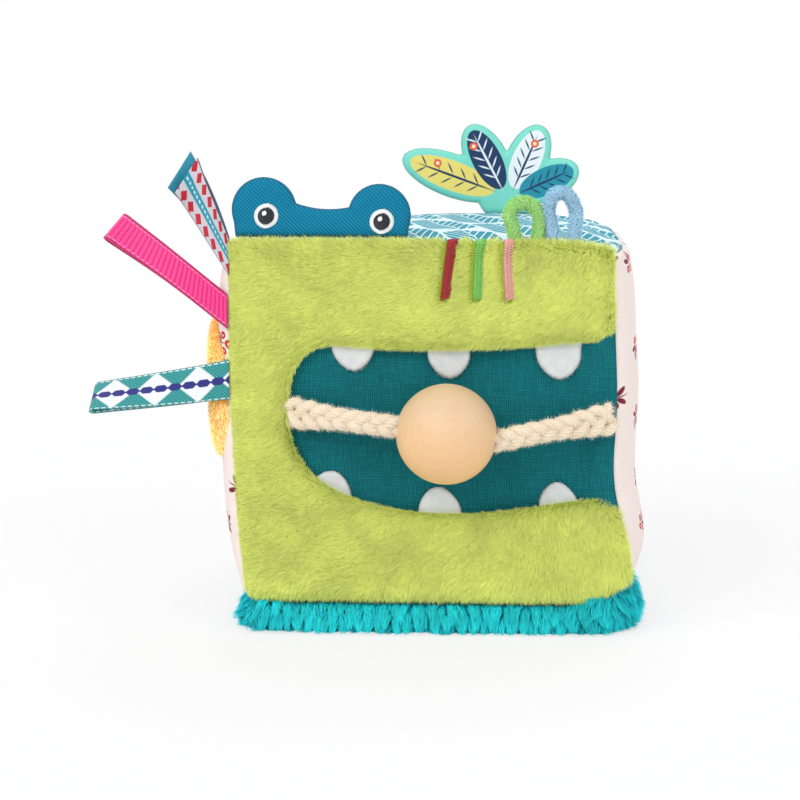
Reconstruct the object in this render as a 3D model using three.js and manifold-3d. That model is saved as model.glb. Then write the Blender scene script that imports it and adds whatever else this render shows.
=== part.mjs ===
// Soft activity cube: a stuffed fabric cube with a plush face, a mouth with a bead on a cord,
// padded tabs, cord loops and ribbon tags in its seams, and a rattle in its foam.
// Millimetres, +Z up. The origin is the centre of the underside, and the front faces -Y.
import * as THREE from "three";
import { ConvexGeometry } from "three/addons/geometries/ConvexGeometry.js";
import { mergeVertices } from "three/addons/utils/BufferGeometryUtils.js";
import Module from "manifold-3d";

const wasm = await Module();
wasm.setup();

// Cover: the box that the sewn seams lie on
const coverWidth = 125;
const coverDepth = 126;
const coverHeight = 119.6;
const seamRadius = 4;
const crownLeft = 6;
const crownRight = 7;
const crownFront = 1.8;
const crownBack = 4;
const crownTop = 2.2;
// How the soft cube stands: its top leans to the left, its foot is wider, one corner droops
const lean = 6.6;
const footFlare = 4.4;
const cornerDrop = 2.5;

// Thickness of each layer, and the room between touching layers
const pileThickness = 10.2;
const plushThickness = 4.6;
const liningThickness = 1.5;
const cottonThickness = 3;
const feltThickness = 1.3;
const clearance = 0.3;

// Long-pile plush under the cube
const basePlushOverhang = 2;
const basePlushCorner = 12;
const basePlushEdge = 3.5;

// Mouth: an opening in the plush face that runs out at the right seam
const cheekWidth = 19.1;
const upperJawHeight = 36;
const lowerJawHeight = 30.5;
const mouthCorner = 15;
const mouthSag = 5.4;

// Felt teeth: place from the left seam, length past the mouth's straight edge, and tilt in degrees
const toothWidth = 12.8;
const upperTeeth = [
  { place: 40.7, length: 7, tilt: 0 },
  { place: 71.3, length: 9.3, tilt: 0 },
  { place: 105.4, length: 9.3, tilt: 0 },
];
const lowerTeeth = [
  { place: 33, length: 12.7, tilt: -14 },
  { place: 65.6, length: 7.8, tilt: 0 },
  { place: 103.6, length: 9.7, tilt: 0 },
];

// Bead and cord
const beadDiameter = 32;
const beadPlace = 69.1;
const beadHeight = 68.4;
const cordDiameter = 7.4;
const boreClearance = 0.7;
const anchorLeftHeight = 72.7;
const anchorRightHeight = 69.8;
const anchorFlat = 0.62;
const anchorLength = 15;

// Satin-stitched bars under the top seam: place from the left seam at the top, and slant
const barWidth = 3;
const barLength = 19.5;
const barThickness = 0.8;
const bars = [
  { name: "red_satin_bar", place: 73.4, slant: -2.4, color: 0xc2143a },
  { name: "green_satin_bar", place: 82.2, slant: -0.8, color: 0x59b94e },
  { name: "pink_satin_bar", place: 90.9, slant: 1.1, color: 0xdf8f92 },
];

// Root of each tab, loop and ribbon: a bead of seam allowance that turns in a groove of the seam
const rootLift = 0.9;
const rootSetBack = 2.2;
const tabRootRadius = 1.2;
const loopRootRadius = 1.5;
const ribbonRootRadius = 1;

// Eye tab
const tabThickness = 5;
const tabBevel = 1.8;
const tabPlace = 1.6;
const humpRadius = 10.6;
const humpSpacing = 37.4;
const leftHumpHeight = 8.9;
const rightHumpHeight = 7.2;
const eyeAcross = 0.9;
const eyeBelow = 1.8;
const eyeDiameter = 8;
const pupilDiameter = 5.4;
const stitchThickness = 0.7;

// Leaf tag in the rear top seam
const leafTagThickness = 3.2;
const leafTagBevel = 1;
const leafTagPlace = 91.2;
const leafTagRoot = 30;
// Each lobe: its centre from the root's middle, its half length and half width, and its slope
const leafLobes = [
  { across: -21.5, up: 14.5, half: 20, width: 8.2, slope: 160 },
  { across: -8.5, up: 20.5, half: 14.5, width: 8, slope: 118 },
  { across: 6.5, up: 20.5, half: 14, width: 8, slope: 66 },
  { across: 14, up: 12.5, half: 13, width: 7.6, slope: 24 },
];

// Cord loops in the front top seam
const loopCordDiameter = 4;
// Each loop: its place, how far it leans at its top, width between its legs, and its height
const loops = [
  {
    name: "green_cord_loop",
    color: 0x86c94f,
    place: 96.8,
    topLean: -1.8,
    legs: 6.6,
    width: 9.2,
    height: 11.5,
  },
  {
    name: "blue_cord_loop",
    color: 0x84b5c9,
    place: 110,
    topLean: -0.6,
    legs: 6.2,
    width: 8.7,
    height: 15,
  },
];

// Folded ribbons in the left front seam. Each edge runs from the seam to the free end,
// and its points are the distance left of the root, in front of it, and the height
const ribbonThickness = 1.7;
const ribbonSteps = 8;
const ribbons = [
  {
    name: "red_diamond_ribbon",
    endThickness: 3,
    color: 0xd9c9d6,
    upper: [[0, 0, 129.6], [4.4, 2.5, 144.5], [9, 1, 157.2]],
    lower: [[0, 0, 119], [10.8, -4, 137.3], [16.4, 0, 145.1]],
  },
  {
    name: "pink_ribbon",
    endThickness: 2.2,
    color: 0xf7307f,
    upper: [[0, 0, 113.6], [16, 1, 126.6], [31.9, -1, 138.2]],
    lower: [[0, 0, 102.2], [18.5, 3.2, 117], [37.8, 4.8, 130.7]],
  },
  {
    name: "teal_diamond_ribbon",
    endThickness: 2.2,
    color: 0x1f9a9a,
    upper: [[0, 0, 90.4], [16, -0.6, 87], [43.6, -5, 81.3]],
    lower: [[0, 0, 77.6], [16, 3, 75.9], [44, 5, 73.7]],
  },
];

// Orange velour pad on the left face: its centre, its size and how far it stands out
const padFromFront = 33;
const padCentreHeight = 83;
const padLength = 50;
const padHeight = 48;
const padStand = 4.2;
const padEdge = 3;

// Foam, and the rattle in it
const foamEdge = 8;
const foamRoom = 1.4;
const pocketRadius = 17;
const capsuleRadius = 16;
const capsuleWall = 1.4;
const rattleBallRadius = 4.5;
const rattleHeight = 66;

const halfWidth = coverWidth / 2;
const halfDepth = coverDepth / 2;
const halfHeight = coverHeight / 2;
const coverBottom = pileThickness + clearance;
const coverTop = coverBottom + coverHeight;
const coverMiddle = coverBottom + halfHeight;

// Mesh fineness of the cover: segments across a face, and round a seam
const faceSegments = 8;
const seamSegments = 2;

const cube = new THREE.Group();

function material(color, roughness, metalness = 0) {
  return new THREE.MeshStandardMaterial({ color, roughness, metalness });
}

// A closed geometry as a solid for cutting and joining
function solidOf(geometry) {
  const bare = geometry.index ? geometry.toNonIndexed() : geometry.clone();
  bare.deleteAttribute("normal");
  bare.deleteAttribute("uv");
  const merged = mergeVertices(bare, 1e-4);
  const mesh = new wasm.Mesh({
    numProp: 3,
    vertProperties: merged.attributes.position.array,
    triVerts: new Uint32Array(merged.index.array),
  });
  return new wasm.Manifold(mesh);
}

// A solid as a geometry, each vertex moved by warp
function geometryOf(solid, warp) {
  const mesh = solid.getMesh();
  const geometry = new THREE.BufferGeometry();
  geometry.setAttribute("position", new THREE.BufferAttribute(Float32Array.from(mesh.vertProperties), 3));
  geometry.setIndex(Array.from(mesh.triVerts));
  if (warp) {
    const position = geometry.attributes.position;
    const point = new THREE.Vector3();
    for (let i = 0; i < position.count; i += 1) {
      point.fromBufferAttribute(position, i);
      const moved = warp(point);
      position.setXYZ(i, moved.x, moved.y, moved.z);
    }
  }
  geometry.computeVertexNormals();
  return geometry;
}

function addPiece(name, geometry, finish) {
  const mesh = new THREE.Mesh(geometry, finish);
  mesh.name = name;
  cube.add(mesh);
  return mesh;
}

// How far the stuffing pushes a point of the straight box outwards
function crownShift(point) {
  const u = THREE.MathUtils.clamp(point.x / halfWidth, -1, 1);
  const v = THREE.MathUtils.clamp(point.y / halfDepth, -1, 1);
  const w = THREE.MathUtils.clamp((point.z - coverMiddle) / halfHeight, -1, 1);
  const fade = (s) => 1 - Math.abs(s) ** 3;
  const fullFade = (s) => 1 - s ** 6;
  const x = u > 0 ? crownRight * u * u : -crownLeft * u * u;
  const y = v > 0 ? crownBack * v * v : -crownFront * v * v;
  const z = w > 0 ? crownTop * w * w : 0;
  return new THREE.Vector3(
    x * fullFade(v) * fullFade(w),
    y * fade(u) * fade(w),
    z * fade(u) * fade(v),
  );
}

// The straight box as it stands: leaning, wider at its foot, its top right corner drawn down
function sway(point) {
  const t = THREE.MathUtils.clamp((coverTop - point.z) / coverHeight, 0, 1);
  const x = point.x * (1 + (footFlare / coverWidth) * t) - lean * (1 - t * t);
  const corner = Math.max(0, point.x / halfWidth) ** 8;
  return new THREE.Vector3(x, point.y, point.z - cornerDrop * Math.min(corner, 1) * (1 - t) ** 3);
}

// The cover's front at this place of the straight box, this deep under its face
function frontAt(x, z, depth) {
  const point = new THREE.Vector3(x, -halfDepth + depth, z);
  return point.add(crownShift(point));
}

// Grid places along one side of a rounded block
function gridPlaces(half, radius) {
  const places = [];
  for (let i = 0; i <= seamSegments; i += 1) {
    places.push(half - radius + radius * Math.tan(((seamSegments - i) / seamSegments) * (Math.PI / 4)));
  }
  const inner = half - radius;
  for (let i = 1; i < faceSegments; i += 1) places.push(inner - (2 * inner * i) / faceSegments);
  for (let i = 0; i <= seamSegments; i += 1) {
    places.push(-inner - radius * Math.tan((i / seamSegments) * (Math.PI / 4)));
  }
  return places.reverse();
}

// The cover's block moved in by an inset, rounded and crowned
function coverBlock(inset) {
  const low = new THREE.Vector3(-halfWidth + inset, -halfDepth + inset, coverBottom + inset);
  const high = new THREE.Vector3(halfWidth - inset, halfDepth - inset, coverTop - inset);
  return softBlock(low, high, Math.max(seamRadius - inset, 0.8));
}

// A block between two corners, rounded, and crowned as the cover is
function softBlock(low, high, radius) {
  const half = high.clone().sub(low).multiplyScalar(0.5);
  const middle = high.clone().add(low).multiplyScalar(0.5);
  const count = faceSegments + 2 * seamSegments;
  const places = [gridPlaces(half.x, radius), gridPlaces(half.y, radius), gridPlaces(half.z, radius)];
  const geometry = new THREE.BoxGeometry(2, 2, 2, count, count, count);
  const position = geometry.attributes.position;
  const index = (value) => Math.round(((value + 1) / 2) * count);
  for (let i = 0; i < position.count; i += 1) {
    const onBlock = new THREE.Vector3(
      places[0][index(position.getX(i))],
      places[1][index(position.getY(i))],
      places[2][index(position.getZ(i))],
    );
    const reach = half.clone().subScalar(radius);
    const core = onBlock.clone().clamp(reach.clone().negate(), reach);
    const out = onBlock.clone().sub(core).setLength(radius);
    const point = core.add(out).add(middle);
    point.add(crownShift(point));
    position.setXYZ(i, point.x, point.y, point.z);
  }
  return solidOf(geometry);
}

// The wedge of the cover that belongs to one face, mitred at the seams
function mitre(normal) {
  const reach = 1.6;
  const shift = normal.clone().multiplyScalar(clearance * 0.75);
  const middle = new THREE.Vector3(0, 0, coverMiddle);
  const half = new THREE.Vector3(halfWidth, halfDepth, halfHeight).multiplyScalar(reach);
  const points = [middle.clone().add(shift)];
  for (const a of [-1, 1]) {
    for (const b of [-1, 1]) {
      const corner = new THREE.Vector3(
        normal.x || a,
        normal.y || (normal.x ? a : b),
        normal.z || b,
      );
      points.push(corner.multiply(half).add(middle).add(shift));
    }
  }
  return solidOf(new ConvexGeometry(points));
}

// An outline in x and z as a prism through the front, from y = near to y = far
function frontPrism(shape, near, far) {
  const geometry = new THREE.ExtrudeGeometry(shape, {
    depth: far - near,
    bevelEnabled: false,
    curveSegments: 10,
  });
  geometry.rotateX(Math.PI / 2);
  geometry.translate(0, far, 0);
  return solidOf(geometry);
}

// A round bar from one point to another
function roundBar(from, to, radius, sides = 12) {
  const geometry = new THREE.CylinderGeometry(radius, radius, from.distanceTo(to), sides);
  const along = to.clone().sub(from).normalize();
  geometry.applyQuaternion(new THREE.Quaternion().setFromUnitVectors(new THREE.Vector3(0, 1, 0), along));
  const middle = from.clone().add(to).multiplyScalar(0.5);
  geometry.translate(middle.x, middle.y, middle.z);
  return solidOf(geometry);
}

const frontWedge = mitre(new THREE.Vector3(0, -1, 0));
const outer = coverBlock(0);

// Mouth: its outline in x and z of the straight box, from the right seam over the top and back
const mouthLeft = -halfWidth + cheekWidth;
const mouthRight = halfWidth + 5;
const mouthTop = coverTop - upperJawHeight;
const mouthBottom = coverBottom + lowerJawHeight;
const mouthMiddle = (mouthTop + mouthBottom) / 2 + 6;

// Each bend of the outline: its two control points and its end, from the mouth's left and the jaw
const upperBends = [
  [[mouthRight - mouthLeft - 24, 0], [45, -2], [mouthCorner, 1.2]],
  [[4, 1.8], [0, -10], [0, mouthMiddle - mouthTop]],
];
const lowerBends = [
  [[0, mouthMiddle - mouthBottom - 16], [8, 10], [mouthCorner, 6.6]],
  [[29, 0], [44, -1], [58, 0]],
  [[74, 1.4], [90, mouthSag - 0.6], [mouthRight - mouthLeft, mouthSag]],
];

function mouthShape() {
  const shape = new THREE.Shape();
  shape.moveTo(mouthRight, mouthTop + mouthSag);
  for (const [bends, jaw] of [[upperBends, mouthTop], [lowerBends, mouthBottom]]) {
    for (const bend of bends) {
      const [a, b, c] = bend.map(([across, up]) => [mouthLeft + across, jaw + up]);
      shape.bezierCurveTo(...a, ...b, ...c);
    }
  }
  return shape;
}

// The mouth's outline moved in by a distance
function insetShape(shape, distance) {
  const points = shape.getPoints(10);
  if (points[0].distanceTo(points[points.length - 1]) < 1e-6) points.pop();
  const turn = THREE.ShapeUtils.isClockWise(points) ? -1 : 1;
  const moved = points.map((point, i) => {
    const before = points[(i + points.length - 1) % points.length];
    const after = points[(i + 1) % points.length];
    const along = after.clone().sub(before).normalize();
    return new THREE.Vector2(point.x - along.y * distance * turn, point.y + along.x * distance * turn);
  });
  return new THREE.Shape(moved);
}

const prismNear = -halfDepth - crownFront - 10;
const prismFar = -halfDepth + 20;
const mouth = mouthShape();
const mouthCut = frontPrism(mouth, prismNear, prismFar);
const mouthInset = frontPrism(insetShape(mouth, clearance), prismNear, prismFar);

// A slanted bar's outline under the top seam, wider by a margin all round
function barShape(bar, margin) {
  const top = new THREE.Vector2(-halfWidth + bar.place, coverTop - 1.5 + margin);
  const foot = new THREE.Vector2(top.x + bar.slant, coverTop - 1.5 - barLength - margin);
  const half = barWidth / 2 + margin;
  return new THREE.Shape([
    new THREE.Vector2(top.x - half, top.y),
    new THREE.Vector2(foot.x - half, foot.y),
    new THREE.Vector2(foot.x + half, foot.y),
    new THREE.Vector2(top.x + half, top.y),
  ]);
}

// Roots of the tabs and loops along a top seam, and of the ribbons along the left front seam
function topRoot(place, halfLength, front) {
  const side = front ? -1 : 1;
  const seam = new THREE.Vector3(-halfWidth + place, side * (halfDepth - rootSetBack), coverTop);
  const drop = seamRadius - Math.sqrt(seamRadius ** 2 - (seamRadius - rootSetBack) ** 2);
  const centre = sway(seam);
  centre.z += rootLift - drop;
  const reach = new THREE.Vector3(halfLength, 0, 0);
  return { centre, from: centre.clone().sub(reach), to: centre.clone().add(reach) };
}

function sideRoot(low, high) {
  const drop = seamRadius - Math.sqrt(seamRadius ** 2 - (seamRadius - rootSetBack) ** 2);
  const centre = sway(new THREE.Vector3(-halfWidth, -halfDepth + rootSetBack, (low + high) / 2));
  centre.x += drop - rootLift;
  return {
    centre,
    from: new THREE.Vector3(centre.x, centre.y, low),
    to: new THREE.Vector3(centre.x, centre.y, high),
  };
}

const tabWidth = humpSpacing + 2 * humpRadius;
const tabRoot = topRoot(tabPlace + tabWidth / 2, tabWidth / 2 - 2, true);
const leafRoot = topRoot(leafTagPlace, leafTagRoot / 2, false);
const loopRoots = loops.map((loop) => topRoot(loop.place, (loop.legs + loopCordDiameter) / 2, true));
const ribbonRoots = ribbons.map((ribbon) => sideRoot(ribbon.lower[0][2], ribbon.upper[0][2]));

// A groove in the seam round a root, with the root's own clearance
function grooveOf(root, radius) {
  const along = root.to.clone().sub(root.from).setLength(clearance * 2);
  return roundBar(root.from.clone().sub(along), root.to.clone().add(along), radius + clearance, 16);
}

function cutGrooves(solid, grooves) {
  return grooves.reduce((rest, groove) => rest.subtract(groove), solid);
}

const topGrooves = [
  grooveOf(tabRoot, tabRootRadius),
  grooveOf(leafRoot, tabRootRadius),
  ...loopRoots.map((root) => grooveOf(root, loopRootRadius)),
];
const sideGrooves = ribbonRoots.map((root) => grooveOf(root, ribbonRootRadius));

// A cover piece as it stands, with the grooves of the roots in it
function coverPiece(solid, grooves) {
  const standing = solidOf(geometryOf(solid, sway));
  return geometryOf(cutGrooves(standing, grooves));
}

// Plush face: one C-shaped cut, with a shallow bed for each satin bar
const plushBed = coverBlock(plushThickness);
const barBed = coverBlock(barThickness + 2 * clearance);
let plush = outer.subtract(plushBed).intersect(frontWedge).subtract(mouthCut);
for (const bar of bars) {
  plush = plush.subtract(frontPrism(barShape(bar, clearance), prismNear, prismFar).subtract(barBed));
}
addPiece("plush_face", coverPiece(plush, [...topGrooves, ...sideGrooves]), material(0xc5d562, 1));

// Satin bars, in their beds
const barSkin = coverBlock(clearance).subtract(coverBlock(barThickness + clearance));
for (const bar of bars) {
  const stitched = barSkin.intersect(frontPrism(barShape(bar, 0), prismNear, prismFar));
  addPiece(bar.name, geometryOf(stitched.intersect(frontWedge), sway), material(bar.color, 0.5));
}

// Mouth lining, behind the plush
const liningInset = plushThickness + clearance;
const liningBack = coverBlock(liningInset + liningThickness);
const lining = coverBlock(liningInset).subtract(liningBack).intersect(frontWedge);
addPiece("mouth_lining", geometryOf(lining, sway), material(0x0c767e, 0.9));

// Felt teeth, on the lining, their roots cut to the mouth's edge
function toothShape(tooth, upper) {
  const half = toothWidth / 2;
  const root = upper ? coverTop : coverBottom;
  const tip = upper ? mouthTop - tooth.length : mouthBottom + tooth.length;
  const side = upper ? 1 : -1;
  const outline = [new THREE.Vector2(-half, side * Math.abs(root - tip))];
  for (let i = 0; i <= 12; i += 1) {
    const angle = Math.PI * (i / 12);
    outline.push(new THREE.Vector2(-half * Math.cos(angle), side * half * 1.1 * (1 - Math.sin(angle))));
  }
  outline.push(new THREE.Vector2(half, side * Math.abs(root - tip)));
  const turn = THREE.MathUtils.degToRad(tooth.tilt);
  const place = new THREE.Vector2(-halfWidth + tooth.place, tip);
  return new THREE.Shape(outline.map((point) => point.rotateAround(new THREE.Vector2(), turn).add(place)));
}

const feltSkin = coverBlock(plushThickness - feltThickness).subtract(coverBlock(plushThickness));
for (const [label, teeth] of [["upper_tooth", upperTeeth], ["lower_tooth", lowerTeeth]]) {
  teeth.forEach((tooth, i) => {
    const prism = frontPrism(toothShape(tooth, label === "upper_tooth"), prismNear, prismFar);
    const felt = feltSkin.intersect(frontWedge).intersect(mouthInset).intersect(prism);
    addPiece(`${label}_${i + 1}`, geometryOf(felt, sway), material(0xe4e5e3, 1));
  });
}

// Cotton panels and the rear panel, mitred at the seams
const cottonSkin = outer.subtract(coverBlock(cottonThickness));
const panels = [
  { name: "left_panel", normal: new THREE.Vector3(-1, 0, 0), grooves: sideGrooves, color: 0xece0da },
  { name: "right_panel", normal: new THREE.Vector3(1, 0, 0), grooves: [], color: 0xece0da },
  { name: "rear_panel", normal: new THREE.Vector3(0, 1, 0), grooves: topGrooves, color: 0xece0da },
  { name: "top_panel", normal: new THREE.Vector3(0, 0, 1), grooves: topGrooves, color: 0x2aa5ae },
];
for (const panel of panels) {
  const cotton = cottonSkin.intersect(mitre(panel.normal));
  addPiece(panel.name, coverPiece(cotton, panel.grooves), material(panel.color, 0.85));
}

// Long-pile plush under the cube, flat where it stands
function basePlush() {
  const halfX = (coverWidth + footFlare) / 2 + basePlushOverhang - basePlushEdge;
  const halfY = halfDepth + basePlushOverhang - basePlushEdge;
  const corner = basePlushCorner - basePlushEdge;
  const shape = new THREE.Shape();
  shape.absarc(halfX - corner, halfY - corner, corner, 0, Math.PI / 2);
  shape.absarc(corner - halfX, halfY - corner, corner, Math.PI / 2, Math.PI);
  shape.absarc(corner - halfX, corner - halfY, corner, Math.PI, Math.PI * 1.5);
  shape.absarc(halfX - corner, corner - halfY, corner, Math.PI * 1.5, Math.PI * 2);
  const geometry = new THREE.ExtrudeGeometry(shape, {
    depth: pileThickness - 2 * basePlushEdge,
    bevelThickness: basePlushEdge,
    bevelSize: basePlushEdge,
    bevelSegments: 4,
    curveSegments: 5,
  });
  geometry.translate(0, 0, basePlushEdge);
  return geometry;
}
addPiece("base_plush", geometryOf(solidOf(basePlush())), material(0x0ba6b0, 1));

// Foam block, its plug, and the rattle capsule in two halves with its ball
const foamInset = cottonThickness + foamRoom;
const foamFront = liningInset + liningThickness + clearance;
const pocketTop = new THREE.Vector3(0, 0, rattleHeight + pocketRadius);
const belowCover = new THREE.Vector3(0, 0, coverBottom - 5);
const foam = softBlock(
  new THREE.Vector3(-halfWidth + foamInset, -halfDepth + foamFront, coverBottom),
  new THREE.Vector3(halfWidth - foamInset, halfDepth - foamInset, coverTop - foamInset),
  foamEdge,
);
const pocket = roundBar(belowCover, pocketTop, pocketRadius, 24);
const standingFoam = solidOf(geometryOf(foam, sway)).subtract(pocket);
addPiece("foam_block", geometryOf(standingFoam), material(0xf2efe6, 1));

const plugLength = rattleHeight - capsuleRadius - clearance - coverBottom;
const plug = new THREE.CylinderGeometry(pocketRadius - clearance, pocketRadius - clearance, plugLength, 24);
plug.rotateX(Math.PI / 2);
plug.translate(0, 0, coverBottom + plugLength / 2);
addPiece("foam_plug", plug, material(0xf2efe6, 1));

function capsuleHalf(side) {
  const bore = capsuleRadius - capsuleWall;
  const seam = clearance / 2;
  const rings = 6;
  const profile = [];
  for (let i = 0; i <= rings; i += 1) {
    const angle = (i / rings) * Math.acos(seam / capsuleRadius);
    profile.push(new THREE.Vector2(capsuleRadius * Math.sin(angle), -capsuleRadius * Math.cos(angle)));
  }
  for (let i = rings; i >= 0; i -= 1) {
    const angle = (i / rings) * Math.acos(seam / bore);
    profile.push(new THREE.Vector2(bore * Math.sin(angle), -bore * Math.cos(angle)));
  }
  profile[0].x = 0;
  profile[profile.length - 1].x = 0;
  const geometry = new THREE.LatheGeometry(profile, 20);
  geometry.rotateX((side * Math.PI) / 2);
  geometry.translate(0, 0, rattleHeight);
  return geometry;
}
addPiece("rattle_capsule_lower", capsuleHalf(1), material(0xf4f4f2, 0.4));
addPiece("rattle_capsule_upper", capsuleHalf(-1), material(0xf4f4f2, 0.4));

const ballBed = rattleHeight - capsuleRadius + capsuleWall + clearance + rattleBallRadius;
const ball = new THREE.SphereGeometry(rattleBallRadius, 14, 10);
ball.translate(0, 0, ballBed);
addPiece("rattle_ball", ball, material(0xb8bcc2, 0.3));

// Wooden bead, bored through along X, in front of the lining
const beadRadius = beadDiameter / 2;
const boreRadius = cordDiameter / 2 + boreClearance;
const beadBoxX = -halfWidth + beadPlace;
const beadCentre = sway(frontAt(beadBoxX, beadHeight, liningInset));
beadCentre.y -= clearance + beadRadius;

function beadGeometry() {
  const start = Math.asin(boreRadius / beadRadius);
  const rings = 14;
  const profile = [];
  for (let i = 0; i <= rings; i += 1) {
    const angle = start + ((Math.PI - 2 * start) * i) / rings;
    profile.push(new THREE.Vector2(beadRadius * Math.sin(angle), -beadRadius * Math.cos(angle)));
  }
  profile.push(profile[0].clone());
  const geometry = new THREE.LatheGeometry(profile, 24);
  geometry.rotateZ(-Math.PI / 2);
  geometry.translate(beadCentre.x, beadCentre.y, beadCentre.z);
  return geometry;
}
addPiece("wooden_bead", beadGeometry(), material(0xf5cfa2, 0.45));

// Cotton cord through the bead, sewn flat at both sides of the mouth
const anchorHalf = (cordDiameter / 2) * anchorFlat;
function anchorAt(boxX, height, inward) {
  const anchor = sway(frontAt(boxX, height, liningInset));
  anchor.x += inward;
  anchor.y -= clearance + anchorHalf;
  return anchor;
}
const anchorLeft = anchorAt(mouthLeft, anchorLeftHeight, clearance + 1.5);
const anchorRight = anchorAt(halfWidth, anchorRightHeight, -liningInset - 1.2);

function cordRoute() {
  const inBore = [-15, -8, 8, 15].map((x) => beadCentre.clone().add(new THREE.Vector3(x, 0, 0)));
  const between = (a, b, share) => a.clone().lerp(b, share);
  return new THREE.CatmullRomCurve3(
    [
      anchorLeft,
      between(anchorLeft, inBore[0], 0.35),
      between(anchorLeft, inBore[0], 0.7),
      ...inBore,
      between(inBore[3], anchorRight, 0.3),
      between(inBore[3], anchorRight, 0.65),
      anchorRight,
    ],
    false,
    "centripetal",
  );
}

function cordGeometry() {
  const route = cordRoute();
  const section = new THREE.Shape();
  section.absarc(0, 0, cordDiameter / 2, 0, Math.PI * 2);
  const geometry = new THREE.ExtrudeGeometry(section, {
    steps: 34,
    extrudePath: route,
    curveSegments: 5,
  });
  const spine = route.getPoints(120);
  const position = geometry.attributes.position;
  const point = new THREE.Vector3();
  for (let i = 0; i < position.count; i += 1) {
    point.fromBufferAttribute(position, i);
    const fromEnd = Math.min(point.x - anchorLeft.x, anchorRight.x - point.x);
    const share = THREE.MathUtils.smoothstep(fromEnd, 0, anchorLength);
    const off = (at) => Math.abs(at.x - point.x);
    const centre = spine.reduce((best, at) => (off(at) < off(best) ? at : best));
    const thin = anchorFlat + (1 - anchorFlat) * share;
    const wide = 2 - anchorFlat - (1 - anchorFlat) * share;
    position.setY(i, centre.y + (point.y - centre.y) * thin);
    position.setZ(i, centre.z + (point.z - centre.z) * (1 + (wide - 1) * 0.6));
    position.setX(i, THREE.MathUtils.clamp(point.x, anchorLeft.x, anchorRight.x));
  }
  return geometry;
}
addPiece("bead_cord", geometryOf(solidOf(cordGeometry())), material(0xeddbc1, 1));

// Eye tab: padded twill with two humps, and its stitched eyes
function tabShape() {
  const shape = new THREE.Shape();
  const leftX = humpRadius;
  const rightX = humpRadius + humpSpacing;
  const deg = Math.PI / 180;
  shape.moveTo(tabWidth - 1.5, 0);
  shape.absarc(rightX, rightHumpHeight, humpRadius - 0.4, -20 * deg, 165 * deg);
  const saddleX = leftX + humpRadius * Math.cos(12 * deg);
  const saddleHeight = leftHumpHeight + humpRadius * Math.sin(12 * deg);
  shape.quadraticCurveTo((leftX + rightX) / 2, leftHumpHeight - 0.8, saddleX, saddleHeight);
  shape.absarc(leftX, leftHumpHeight, humpRadius, 12 * deg, 200 * deg);
  shape.lineTo(1.2, 0);
  return shape;
}

const tabLeft = tabRoot.centre.x - tabWidth / 2;
const tabGeometry = new THREE.ExtrudeGeometry(tabShape(), {
  depth: tabThickness - 2 * tabBevel,
  bevelThickness: tabBevel,
  bevelSize: tabBevel,
  bevelOffset: -tabBevel,
  bevelSegments: 3,
  curveSegments: 9,
});
tabGeometry.rotateX(Math.PI / 2);
tabGeometry.translate(tabLeft, tabRoot.centre.y + tabThickness / 2 - tabBevel, tabRoot.centre.z - 0.2);
const tab = solidOf(tabGeometry).add(roundBar(tabRoot.from, tabRoot.to, tabRootRadius));
addPiece("eye_tab", geometryOf(tab), material(0x0e8bb1, 0.85));

function stitchedDisc(name, x, z, depth, diameter, color) {
  const disc = new THREE.CylinderGeometry(diameter / 2, diameter / 2, stitchThickness, 20);
  const front = tabRoot.centre.y - tabThickness / 2;
  disc.translate(x, front - depth - stitchThickness / 2, z);
  addPiece(name, disc, material(color, 0.6));
}
const leftEyeX = tabLeft + humpRadius + eyeAcross;
const eyes = [
  { side: "left", x: leftEyeX, z: tabRoot.centre.z + leftHumpHeight - eyeBelow },
  { side: "right", x: leftEyeX + humpSpacing, z: tabRoot.centre.z + rightHumpHeight - eyeBelow },
];
for (const eye of eyes) {
  stitchedDisc(`${eye.side}_eye_white`, eye.x, eye.z, clearance, eyeDiameter, 0xf4f5f3);
  stitchedDisc(`${eye.side}_pupil`, eye.x, eye.z, 2 * clearance + stitchThickness, pupilDiameter, 0x14161c);
}

// Leaf tag: padded lobes in the rear top seam
function lobe(leaf) {
  const shape = new THREE.Shape();
  const slope = THREE.MathUtils.degToRad(leaf.slope);
  shape.absellipse(leaf.across, leaf.up, leaf.half, leaf.width, 0, Math.PI * 2, false, slope);
  return padded(shape);
}

function padded(shape) {
  const geometry = new THREE.ExtrudeGeometry(shape, {
    depth: leafTagThickness - 2 * leafTagBevel,
    bevelThickness: leafTagBevel,
    bevelSize: leafTagBevel,
    bevelOffset: -leafTagBevel,
    bevelSegments: 1,
    curveSegments: 16,
  });
  geometry.rotateX(Math.PI / 2);
  const back = leafRoot.centre.y + leafTagThickness / 2 - leafTagBevel;
  geometry.translate(leafRoot.centre.x, back, leafRoot.centre.z);
  return solidOf(geometry);
}

const stem = new THREE.Shape();
stem.moveTo(leafTagRoot / 2, 0);
stem.quadraticCurveTo(leafTagRoot / 2 + 2, 12, 0, 24);
stem.quadraticCurveTo(-leafTagRoot / 2 - 2, 12, -leafTagRoot / 2, 0);
let leafTag = padded(stem).add(roundBar(leafRoot.from, leafRoot.to, tabRootRadius));
for (const leaf of leafLobes) leafTag = leafTag.add(lobe(leaf));
addPiece("leaf_tag", geometryOf(leafTag), material(0x7ddbc8, 0.8));

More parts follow.
